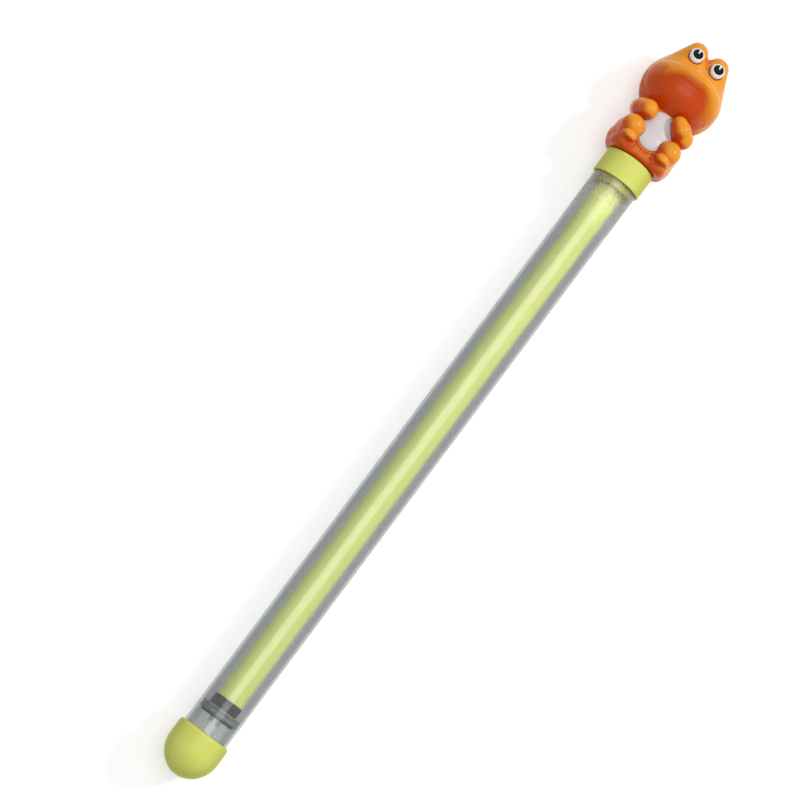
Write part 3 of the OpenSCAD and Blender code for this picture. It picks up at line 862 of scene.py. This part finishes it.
# Painted shadow below the upper lip, less of it on the frog's left, and painted shade low on the base, clear
# of the limbs
FACE_SHADE_LEVEL = (-0.7, 1.2)
FACE_SHADE_LOW = (28, 33)
FACE_SHADE_FRONT = (-6, 6)
FACE_SHADE_SKIN = (0.2, 0.8)
FACE_SHADE_SHARES = (0.9, 0.5)
FACE_SHADE_SIDE = (5, 19)
BASE_SHADE_SHARE = 0.5
BASE_SHADE_TOP = (4.0, 6.2)
BASE_SHADE_LIMB = (0.0, 0.4)

SCREWS = [(0.0, 44.4), (12.73, 15.0), (-12.73, 15.0)]
SCREW_POST_R = 3.2
SCREW_HOLE_R = 1.2
SCREW_HEAD_R = 2.55
SCREW_SEAT = 4.0
SCREW_SEAT_EDGE = 0.4
SCREW_TIP = 6.2
ROD_ROOM_R = 7.4
ROD_ROOM_TOP = 21.2
ANCHOR_ROOM = (9.3, 19.9, 23.1)
SHELL_GAP = 0.1
SPLIT_GAP = 0.01
SPLIT_EDGE = 0.35

EYE_TILT = math.radians(13)
EYE_SEAT = 4.0
EYE_SOCKET_EDGE = 0.5
EYE_STEM = (2.8, 3.6)
EYE_STEM_TOP = 1
EYE_STEM_BLEND = 0.2
EYE_STRETCH = 0.86
EYE_GAP = 0.05
EYE_TUCK = 0.55
EYE_TUCK_SPAN = (0, 3.0)
EYE_CROWN = 0.012
EYE_SHOULDER = 1.8
PUPIL_LIFT = 0.05
PUPIL_T = 0.6
PUPIL_GAP = 0.05
PUPIL_RISE = 0.05
PUPIL_EDGE = 0.15
PUPIL_SEAT_EDGE = 0.1
NOTCH_SHARES = (0.12, 0.12, 0.27)
NOTCH_GAP = 0.04
NOTCH_EDGES = (0.05, 0.1)

# Blocks of cells in which the frog's pieces are meshed: room round the piece, reaches and shares of the grain
SHELL_ROOM = 0.7
SHELL_UNDER = -0.6
FRONT_ROOM = (-0.5, 21.2)
BACK_ROOM = (-17.6, 0.5)
BELLY_ROOM = 1
BELLY_FRONT = (5.0, 15.0)
EYE_ROOM = 0.9
EYE_DEPTH = (-4.2, 4.8)
PUPIL_BLOCK = ((-3.2, -2.8, 3.2), (3.2, 3.8, 4.8))
BELLY_GRAIN_SHARE = 0.6
PUPIL_GRAIN_SHARE = 0.7


def mirrored(ball4):
    return (-ball4[0], *ball4[1:])


class FrogForm:
    """Distance fields of the frog's pieces."""

    def __init__(self):
        size = sizes("squirter_frog")
        for name in size.bl_rna.properties.keys():
            if name not in ("rna_type", "name"):
                setattr(self, name, getattr(size, name) / MM)

    def bare_skull(self, q):
        deep = (self.head_front + self.head_back) / 2
        mid = (self.head_front - self.head_back) / 2
        return oval(q, (0, mid, self.head_level), (self.head_half, deep, self.head_rise))

    def head_blend(self, q, span):
        """Width of the head's blends: narrow at the back, wide in front."""
        return HEAD_BLEND[0] + HEAD_BLEND[1] * ease(q[1], *span)

    def skull(self, q):
        mound = (self.eye_half_spread, self.eye_lead, self.eye_level, self.mound_r)
        brow = join(limb(q, mound, BROW_ROOT), limb(q, mirrored(mound), mirrored(BROW_ROOT)), BROW_BLEND)
        return join(self.bare_skull(q), brow, self.head_blend(q, BROW_SPAN))

    def jaw(self, q):
        deep = (self.jaw_reach + self.head_back) / 2
        mid = (self.jaw_reach - self.head_back) / 2
        return oval(q, (0, mid, self.jaw_level), (JAW_WIDTH_SHARE * self.head_half, deep, self.jaw_rise))

    def lip_edges(self, side):
        """Heights of the upper lip's upper and lower edges, which fall away to the sides."""
        top = LIP_TOP[0] - LIP_TOP[1] * (side / LIP_BOW) ** 2
        return top, LIP_LOW[0] - LIP_LOW[1] * ease(side, *LIP_FALL)

    def lip(self, q):
        """How far the upper lip swells out of the face, with the mouth's edge and bumps at its corners."""
        side = np.abs(q[0])
        top, low = self.lip_edges(side)
        level = (2 * q[2] - top - low) / (top - low)
        wide = LIP_SWELL[0] + (LIP_SWELL[1] - LIP_SWELL[0]) * ease(side, *LIP_THINNING)
        above = np.sqrt(np.maximum(1 - ((level - LIP_PEAK) / (1 - LIP_PEAK)) ** 2, 0))
        below = 0.5 + 0.5 * np.cos(math.pi * np.clip((LIP_PEAK - level) / (1 + LIP_PEAK), 0, 1))
        step = LIP_STEP * ease(q[2] - low, *LIP_STEP_RISE) * (1 - ease(level, *LIP_STEP_TOP))
        step = step * (1 - ease(side, *LIP_STEP_FADE))
        swell = wide * np.where(level > LIP_PEAK, above, below) + step
        swell = swell * ease(q[1], *LIP_FRONT) * (1 - ease(side, *LIP_FADE))
        line = np.exp(-(((q[2] - low + MOUTH_SINK) / MOUTH_LINE) ** 2)) * (1 - ease(side, *MOUTH_FADE))
        front = ease(q[1], *MOUTH_FRONT)
        swell = swell + MOUTH_EDGE * line * front
        for across, up, rise in CORNER_BUMPS:
            apart = ((side - across) ** 2 + (q[2] - up) ** 2) / CORNER_BUMP_R**2
            swell = swell + rise * np.exp(-apart) * front
        return swell

    def head(self, q):
        crown = join(self.skull(q), self.jaw(q), self.head_blend(q, CHEEK_SPAN))
        return crown - self.lip(q)

    def painted_shade(self, q):
        """How far painted shade covers a place by itself: the painted shadow below the upper lip, and painted
        shade low on the base.
        """
        top, low = self.lip_edges(np.abs(q[0]))
        face = ease((top + low - 2 * q[2]) / (top - low), *FACE_SHADE_LEVEL)
        face = face * ease(q[2], *FACE_SHADE_LOW) * ease(q[1], *FACE_SHADE_FRONT)
        face = face * (1 - ease(np.abs(self.head(q)), *FACE_SHADE_SKIN))
        face = face * (FACE_SHADE_SHARES[0] - FACE_SHADE_SHARES[1] * ease(q[0], *FACE_SHADE_SIDE))
        base = BASE_SHADE_SHARE * (1 - ease(q[2], *BASE_SHADE_TOP)) * ease(self.limbs(q), *BASE_SHADE_LIMB)
        return np.maximum(face, base)

    def torso(self, q):
        return join(oval(q, *TORSO_LOW), oval(q, *TORSO_HIGH), TORSO_BLEND)

    def belly_edge(self, q):
        """Distance to the belly panel's oval, seen from the front."""
        return oval((q[0], q[2]), (0, self.belly_level), (self.belly_half_w, self.belly_half_h))

    def limbs(self, q):
        side = (np.abs(q[0]), q[1], q[2])
        thigh = limb(side, THIGH[0], THIGH[2])
        for start, end in THIGH_BONES[1:]:
            thigh = join(thigh, limb(side, THIGH[start], THIGH[end]), THIGH_BLEND)
        foot = keep(limb(side, *FOOT), FOOT_SOLE - q[2], FOOT_ROUND)
        legs = join(thigh, foot, FOOT_BLEND)
        arms = limb(q, *LEFT_ARM[:2])
        for start, end in (*zip(LEFT_ARM[1:], LEFT_ARM[2:]), *zip(RIGHT_ARM, RIGHT_ARM[1:])):
            arms = join(arms, limb(q, start, end), ARM_BLEND)
        return join(legs, arms, LIMB_BLEND)

    def body(self, q):
        edge = self.belly_edge(q)
        fold = sum(rise * np.exp(-(((edge - out) / wide) ** 2)) for out, wide, rise in FOLDS)
        fold = fold * ease(q[1], *FOLD_FRONT) * (1 - ease(q[2], *FOLD_TOP))
        plan = soft_box((q[0], q[1], 0 * q[2]), BASE_PLACE, BASE_CORE, BASE_CORNER)
        base = keep(plan, np.abs(q[2] - BASE_LEVEL) - BASE_HALF, BASE_EDGE)
        trunk = join(self.torso(q), base, BASE_BLEND) - fold
        root = LIMB_ROOT[0] + LIMB_ROOT[1] * (1 - ease(q[2], *LIMB_ROOT_SPAN))
        return join(trunk, self.limbs(q), root)

    def form(self, q):
        """The whole frog, from outside."""
        whole = join(self.body(q), self.head(q), NECK_BLEND)
        return keep(whole, -q[2], SEAT_EDGE)

    def eye_place(self, q, side):
        """Places in the frame of one eye: across, up and out of its seat."""
        across = q[0] - side * self.eye_half_spread
        forward, up = q[1] - self.eye_lead, q[2] - (self.eye_level - self.eye_r)
        c, s = math.cos(EYE_TILT), math.sin(EYE_TILT)
        return across, up * c - forward * s, forward * c + up * s - EYE_SEAT

    def eye_socket(self, q, side):
        x, y, z = self.eye_place(q, side)
        r = np.hypot(x, y)
        seat = np.maximum(self.eye_round(x, y) - self.eye_r - SHELL_GAP, -z)
        stem = np.maximum(r - EYE_STEM[0] - SHELL_GAP, -z - EYE_STEM[1] - SHELL_GAP)
        return np.minimum(seat, np.maximum(stem, z - EYE_STEM_TOP))

    def hollow(self, q):
        """Room inside both shells for the rod, the anchor and the screws."""
        r = np.hypot(q[0], q[1])
        room = np.maximum(r - ROD_ROOM_R, q[2] - ROD_ROOM_TOP)
        anchor_r, anchor_low, anchor_high = ANCHOR_ROOM
        anchor = np.maximum(r - anchor_r, np.maximum(anchor_low - q[2], q[2] - anchor_high))
        room = np.minimum(room, anchor)
        inner = np.minimum(self.jaw(q), self.bare_skull(q)) + self.shell_wall
        post = np.hypot(q[0], q[2] - SCREWS[0][1]) - SCREW_POST_R
        return np.minimum(room, np.maximum(inner, -post))

    def belly(self, q, grow=0.0):
        """The belly panel: a slice of the torso's skin inside an oval, clear of the limbs."""
        torso = self.torso(q)
        slab = np.maximum(torso - self.belly_proud - grow, -torso - self.belly_t + self.belly_proud - grow)
        sheet = keep(slab, self.belly_edge(q) - grow, BELLY_EDGE)
        sheet = cut(sheet, self.limbs(q) - SHELL_GAP + grow, BELLY_TRIM_EDGE)
        sheet = cut(sheet, self.jaw(q) - SHELL_GAP + grow, BELLY_TRIM_EDGE)
        return np.maximum(sheet, BELLY_BACK - q[1])

    def front(self, q):
        shell = keep(self.form(q), -q[1] + SPLIT_GAP, SPLIT_EDGE)
        room = np.minimum(self.hollow(q), self.belly(q, SHELL_GAP))
        for side in (1, -1):
            shell = cut(shell, self.eye_socket(q, side), EYE_SOCKET_EDGE)
        for across, up in SCREWS:
            hole = np.hypot(q[0] - across, q[2] - up) - SCREW_HOLE_R
            room = np.minimum(room, np.maximum(hole, q[1] - SCREW_TIP))
        return np.maximum(shell, -room)

    def back(self, q):
        shell = keep(self.form(q), q[1] + SPLIT_GAP, SPLIT_EDGE)
        room = self.hollow(q)
        for across, up in SCREWS:
            r = np.hypot(q[0] - across, q[2] - up)
            shell = cut(shell, np.maximum(r - SCREW_HEAD_R, q[1] + SCREW_SEAT), SCREW_SEAT_EDGE)
            room = np.minimum(room, r - SCREW_HOLE_R)
        return np.maximum(shell, -room)

    def notch(self, x, y, inset):
        """The notch in a pupil's top, in the eye's frame."""
        low, narrow, wide = (self.pupil_r * share for share in NOTCH_SHARES)
        half = narrow + (wide - narrow) * (y - low) / (self.pupil_r - low)
        return np.maximum(low - y, np.abs(x) - half) + inset

    def eye_round(self, x, y):
        """Distance from an eye's middle, stretched so that the eye's lower end is drawn out a little."""
        return np.hypot(x, y * np.where(y < 0, EYE_STRETCH, 1.0))

    def eye_face(self, x, y, z):
        """Front of an eye button: a round shoulder and a slightly crowned face."""
        r = self.eye_round(x, y)
        wall = r - (self.eye_r - EYE_GAP - EYE_TUCK * (1 - ease(z, *EYE_TUCK_SPAN)))
        return keep(wall, z - self.eye_rise + EYE_CROWN * r * r, EYE_SHOULDER)

    def pupil_plug(self, x, lifted, z, inset):
        """The round plug of a pupil, from its floor in the eye upwards."""
        return np.maximum(np.hypot(x, lifted) - self.pupil_r + inset, self.eye_rise - PUPIL_T - z)

    def eye(self, q):
        x, y, z = q
        stem = np.maximum(np.hypot(x, y) - EYE_STEM[0], np.maximum(-z - EYE_STEM[1], z - EYE_STEM_TOP))
        button = join(np.maximum(self.eye_face(x, y, z), -z), stem, EYE_STEM_BLEND)
        lifted = y - PUPIL_LIFT
        seat = cut(self.pupil_plug(x, lifted, z, 0.0), self.notch(x, lifted, NOTCH_GAP), NOTCH_EDGES[0])
        return cut(button, seat, PUPIL_SEAT_EDGE)

    def pupil(self, q):
        x, y, z = q
        lifted = y - PUPIL_LIFT
        plug = cut(self.pupil_plug(x, lifted, z, PUPIL_GAP), self.notch(x, lifted, 0.0), NOTCH_EDGES[1])
        return keep(plug, self.eye_face(x, y, z) - PUPIL_RISE, PUPIL_EDGE)


def frog_piece(name, node, field, low, high, grain, to_frog=None, finish=None):
    """Meshes one of the frog's fields and stands it in the frame for its node."""
    points, faces = skin_of(field, low, high, grain)
    marks = crease_marks(field, points)
    if to_frog is None:
        # The shells also get the painted shadow below the upper lip and the painted shade low on the base
        marks["under"] = np.maximum(marks["under"], FrogForm().painted_shade(points.T))
    else:
        points = to_frog(points)
    placed = np.stack(
        (SEAT_X + points[:, 2] * MM, AXIS_Y - points[:, 0] * MM, AXIS_Z + points[:, 1] * MM), 1
    )
    return dress(name, placed.tolist(), faces[:, ::-1].tolist(), node, marks, finish)


# Operators


class PieceOperator(bpy.types.Operator):
    """What the squirter's operators share."""

    bl_options = {"REGISTER", "UNDO"}


class SQUIRTER_OT_barrel(PieceOperator):
    """Build the clear barrel tube"""

    bl_idname = "squirter.barrel"
    bl_label = "Clear Barrel"

    def execute(self, context):
        size = sizes("squirter_turned")
        outer = node_radius("barrel_tube")
        inner = outer - size.tube_wall
        low, high = TUBE_LOW.x, TUBE_HIGH.x
        points = [(low, inner), (high, inner), (high, outer), (low, outer)]
        turn("clear_barrel", filleted(points, TUBE_FILLETS), "barrel_tube")
        return {"FINISHED"}


class SQUIRTER_OT_caps(PieceOperator):
    """Build the domed jet cap and the collar"""

    bl_idname = "squirter.caps"
    bl_label = "Jet Cap and Collar"

    def execute(self, context):
        self.jet_cap()
        self.collar()
        return {"FINISHED"}

    def jet_cap(self):
        size = sizes("squirter_turned")
        outer = node_radius("nozzle_cap")
        socket = node_radius("barrel_tube") + size.socket_gap
        bore = node_radius("barrel_tube") - size.tube_wall
        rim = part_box("nozzle_cap")[1].x
        shoulder = rim - size.cap_straight
        centre = (shoulder, -size.cap_draw)
        arc = outer + size.cap_draw
        tip = shoulder - math.sqrt(arc**2 - size.cap_draw**2)
        boss = size.jet_r + size.jet_boss

        def turn_at(radius, r):
            return math.pi - math.asin((r + size.cap_draw) / radius)

        inner_arc = arc - size.cap_dome_wall
        ledge = shoulder - size.cap_seat_sink
        throat = tip + size.jet_length
        flare = size.jet_r + JET_FLARE * MM
        mouth_x = shoulder - math.sqrt(arc**2 - (size.jet_r + size.cap_draw) ** 2)
        mouth = [(mouth_x + inward * MM, size.jet_r + outward * MM, 0.0) for inward, outward in JET_MOUTH]
        dome = arc_corners(centre, arc, turn_at(arc, flare), turn_at(arc, outer), DOME_STEPS)
        skirt = filleted([(rim, socket), (ledge, socket), (ledge, bore)], SOCKET_FILLETS)
        vault = arc_corners(
            centre, inner_arc, turn_at(inner_arc, bore), turn_at(inner_arc, boss), VAULT_STEPS
        )
        end = filleted([(throat, boss), (throat, size.jet_r)], BOSS_FILLETS)
        turn("jet_cap", mouth + dome + [(rim, outer, size.cap_rim)] + skirt + vault + end, "nozzle_cap")

    def collar(self):
        size = sizes("squirter_turned")
        low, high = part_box("collar")
        outer = node_radius("collar")
        socket = node_radius("barrel_tube") + size.socket_gap
        web = high.x - size.collar_web
        points = [
            (low.x, socket),
            (web, socket),
            (web, size.collar_hole),
            (high.x, size.collar_hole),
            (high.x, outer),
            (low.x, outer),
        ]
        turn("collar_ring", filleted(points, COLLAR_FILLETS), "collar")


class SQUIRTER_OT_piston(PieceOperator):
    """Build the piston's lipped seal and its hub"""

    bl_idname = "squirter.piston"
    bl_label = "Piston"

    def execute(self, context):
        self.seal()
        self.hub()
        return {"FINISHED"}

    def seal(self):
        size = sizes("squirter_turned")
        low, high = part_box("piston_seal")
        outer = node_radius("piston_seal")
        mid, wide = (low.x + high.x) / 2, (high.x - low.x) / 4
        points = [
            (low.x, size.seal_bore),
            (high.x, size.seal_bore),
            (high.x, outer),
            (mid + wide, outer),
            (mid, outer - size.lip_depth),
            (mid - wide, outer),
            (low.x, outer),
        ]
        turn("seal_ring", filleted(points, SEAL_FILLETS), "piston_seal")

    def hub(self):
        size = sizes("squirter_turned")
        low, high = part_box("piston_core")
        outer = node_radius("piston_core")
        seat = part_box("plunger_rod")[0].x
        under = seat - size.hub_rise
        depth = low.x + size.screw_depth
        points = [
            (depth, 0.0),
            (depth, size.screw_hole),
            (low.x, size.screw_hole),
            (low.x, size.hub_stem),
            (under, size.hub_stem),
            (under, outer),
            (seat, outer),
            (seat, size.hub_plug),
            (high.x, size.hub_plug),
            (high.x, 0.0),
        ]
        turn("piston_hub", filleted(points, HUB_FILLETS), "piston_core")


class SQUIRTER_OT_frog_shells(PieceOperator):
    """Build the frog's front and back shells"""

    bl_idname = "squirter.frog_shells"
    bl_label = "Frog Shells"

    def execute(self, context):
        form = FrogForm()
        wide, top = form.head_half + SHELL_ROOM, form.eye_level + form.mound_r + SHELL_ROOM
        for word, field, room in (("front", form.front, FRONT_ROOM), ("back", form.back, BACK_ROOM)):
            low, high = (-wide, room[0], SHELL_UNDER), (wide, room[1], top)
            frog_piece(f"frog_{word}", f"frog_{word}_shell", field, low, high, form.grain)
        return {"FINISHED"}


class SQUIRTER_OT_frog_belly(PieceOperator):
    """Build the frog's white belly panel"""

    bl_idname = "squirter.frog_belly"
    bl_label = "Frog Belly"

    def execute(self, context):
        form = FrogForm()
        half_w, half_h = form.belly_half_w + BELLY_ROOM, form.belly_half_h + BELLY_ROOM
        low = (-half_w, BELLY_FRONT[0], form.belly_level - half_h)
        high = (half_w, BELLY_FRONT[1], form.belly_level + half_h)
        frog_piece("frog_belly", "belly_panel", form.belly, low, high, BELLY_GRAIN_SHARE * form.grain)
        return {"FINISHED"}


class SQUIRTER_OT_frog_eyes(PieceOperator):
    """Build the frog's eye buttons and notched pupils"""

    bl_idname = "squirter.frog_eyes"
    bl_label = "Frog Eyes"

    def execute(self, context):
        form = FrogForm()
        c, s = math.cos(EYE_TILT), math.sin(EYE_TILT)
        for side, word in ((1, "left"), (-1, "right")):

            def to_frog(points, side=side):
                x, y, z = points[:, 0], points[:, 1], points[:, 2] + EYE_SEAT
                across = x + side * form.eye_half_spread
                forward = form.eye_lead + z * c - y * s
                up = form.eye_level - form.eye_r + z * s + y * c
                return np.stack((across, forward, up), 1)

            reach = form.eye_r + EYE_ROOM
            low, high = (-reach, -reach, EYE_DEPTH[0]), (reach, reach, EYE_DEPTH[1])
            eye, pupil = f"{word}_eye", f"{word}_pupil"
            frog_piece(f"eye_{word}", eye, form.eye, low, high, form.eye_grain, to_frog, "eye_plastic")
            fine = PUPIL_GRAIN_SHARE * form.eye_grain
            frog_piece(f"pupil_{word}", pupil, form.pupil, *PUPIL_BLOCK, fine, to_frog)
        return {"FINISHED"}


class SQUIRTER_OT_frame_finishes(PieceOperator):
    """Give the CAD pieces that stay in view their finishes"""

    bl_idname = "squirter.frame_finishes"
    bl_label = "Frame Finishes"

    def execute(self, context):
        for name, node in frame["nodes"].items():
            if not node.hide_render:
                # The guide gets a shaded copy of the lime: painted shade inside the tube
                finish = "guide_plastic" if name == "rod_guide" else slot_of(name)
                node.data.materials.clear()
                node.data.materials.append(finish_of(finish))
        return {"FINISHED"}


WHITE = (1, 1, 1, 1)
FLOOR_HALF = 4.0
FLOOR_GAP = 0.1 * MM
SENSOR_WIDTH = 36.0

# Lamps: direction from the target, distance, and width along and across the barrel, in metres
KEY_LAMP = ((0.58, -0.52, 0.63), 2.4, (0.32, 0.32))
OVERHEAD_LAMP = ((0.13, 0.0, 0.99), 2.6, (2.0, 1.8))


class SQUIRTER_OT_studio(PieceOperator):
    """Lay the pale floor and set the lamps and the camera"""

    bl_idname = "squirter.studio"
    bl_label = "Studio"

    def execute(self, context):
        self.floor()
        self.world()
        self.camera_and_lamps()
        context.scene.view_settings.view_transform = "Standard"
        return {"FINISHED"}

    def seen(self, f):
        """1 for the rays that show the background: camera, mirror and glass rays."""
        path = f.node("ShaderNodeLightPath", out="Is Camera Ray")
        glossy = f.node("ShaderNodeLightPath", out="Is Glossy Ray")
        through = f.node("ShaderNodeLightPath", out="Is Transmission Ray")
        return f.step(path + glossy + through, 0.0, 1.0)

    def floor(self):
        level = CAD_BOX[0][2] - FLOOR_GAP
        corners = [(FLOOR_HALF * x, FLOOR_HALF * y, level) for x, y in ((-1, -1), (1, -1), (1, 1), (-1, 1))]
        mesh = bpy.data.meshes.new("studio_floor")
        mesh.from_pydata(corners, [], [(0, 1, 2, 3)])
        floor = bpy.data.objects.new("studio_floor", mesh)
        bpy.context.scene.collection.objects.link(floor)
        f = finish_named("studio_floor")
        paint = f.plastic(Base_Color=sizes("squirter_colours").floor, Roughness=0.9, Specular_IOR_Level=0.0)
        level = sizes("squirter_studio").floor_glow
        glow = f.node("ShaderNodeEmission", None, {"Color": WHITE, "Strength": level})
        both = f.node("ShaderNodeAddShader", None, {0: paint, 1: glow})
        shown = f.node("ShaderNodeMixShader", None, {0: self.seen(f), 1: paint, 2: both})
        mesh.materials.append(f.show(shown))

    def world(self):
        world = bpy.data.worlds.new("studio")
        bpy.context.scene.world = world
        f = Finish(world)
        level = sizes("squirter_studio").fill_level
        fill = f.node("ShaderNodeBackground", None, {"Color": WHITE, "Strength": level})
        white = f.node("ShaderNodeBackground", None, {"Color": WHITE, "Strength": 1.0})
        f.show(f.node("ShaderNodeMixShader", None, {0: self.seen(f), 1: fill, 2: white}))

    def camera_and_lamps(self):
        studio = sizes("squirter_studio")
        target = Vector((CAD_BOX[0][0] + studio.target_x, studio.target_y, AXIS_Z))
        lean = Matrix.Rotation(-studio.lean, 3, "X")
        view = lean @ Vector((math.sin(studio.drop), 0, -math.cos(studio.drop)))
        along = lean @ Vector((math.cos(studio.drop), 0, math.sin(studio.drop)))
        aside = lean @ Vector((0, 1, 0))
        right = math.cos(studio.roll) * along - math.sin(studio.roll) * aside
        up = math.sin(studio.roll) * along + math.cos(studio.roll) * aside
        lens = bpy.data.cameras.new("photo_camera")
        lens.lens, lens.sensor_width = studio.lens, SENSOR_WIDTH
        camera = bpy.data.objects.new("photo_camera", lens)
        camera.matrix_world = Matrix((right, up, -view)).transposed().to_4x4()
        camera.location = target - view * studio.distance
        bpy.context.scene.collection.objects.link(camera)
        bpy.context.scene.camera = camera
        self.lamp("key_lamp", target, *KEY_LAMP, studio.key_power)
        self.lamp("overhead_lamp", target, *OVERHEAD_LAMP, studio.overhead_power)

    def lamp(self, name, target, direction, distance, spread, power):
        light = bpy.data.lights.new(name, "AREA")
        light.shape, light.energy = "ELLIPSE", power
        light.size, light.size_y = spread
        lamp = bpy.data.objects.new(name, light)
        back = Vector(direction).normalized()
        along = (Vector((1, 0, 0)) - back * back.x).normalized()
        lamp.matrix_world = Matrix((along, back.cross(along), back)).transposed().to_4x4()
        lamp.location = target + back * distance
        bpy.context.scene.collection.objects.link(lamp)


class SQUIRTER_PT_pieces(bpy.types.Panel):
    """Lists the squirter's operators"""

    bl_idname = "SQUIRTER_PT_pieces"
    bl_label = "Water Squirter"
    bl_space_type = "VIEW_3D"
    bl_region_type = "UI"
    bl_category = "Squirter"

    def draw(self, context):
        for operator in PIECES:
            self.layout.operator(operator.bl_idname)
        for group in GROUPS:
            box = self.layout.box()
            owner = getattr(context.scene, group)
            for name in GROUPS[group].__annotations__:
                box.prop(owner, name)


PIECES = (
    SQUIRTER_OT_barrel,
    SQUIRTER_OT_caps,
    SQUIRTER_OT_piston,
    SQUIRTER_OT_frog_shells,
    SQUIRTER_OT_frog_belly,
    SQUIRTER_OT_frog_eyes,
    SQUIRTER_OT_frame_finishes,
    SQUIRTER_OT_studio,
)
GROUPS = {
    "squirter_turned": TurnedSizes,
    "squirter_frog": FrogSizes,
    "squirter_colours": Colours,
    "squirter_studio": StudioSizes,
}


def register():
    for kind in (*GROUPS.values(), *PIECES, SQUIRTER_PT_pieces):
        bpy.utils.register_class(kind)
    for name, kind in GROUPS.items():
        setattr(bpy.types.Scene, name, PointerProperty(type=kind))


def unregister():
    for name in GROUPS:
        delattr(bpy.types.Scene, name)
    for kind in reversed((*GROUPS.values(), *PIECES, SQUIRTER_PT_pieces)):
        bpy.utils.unregister_class(kind)


def main():
    register()
    for operator in PIECES:
        group, name = operator.bl_idname.split(".")
        getattr(getattr(bpy.ops, group), name)()


if __name__ == "__main__":
    main()
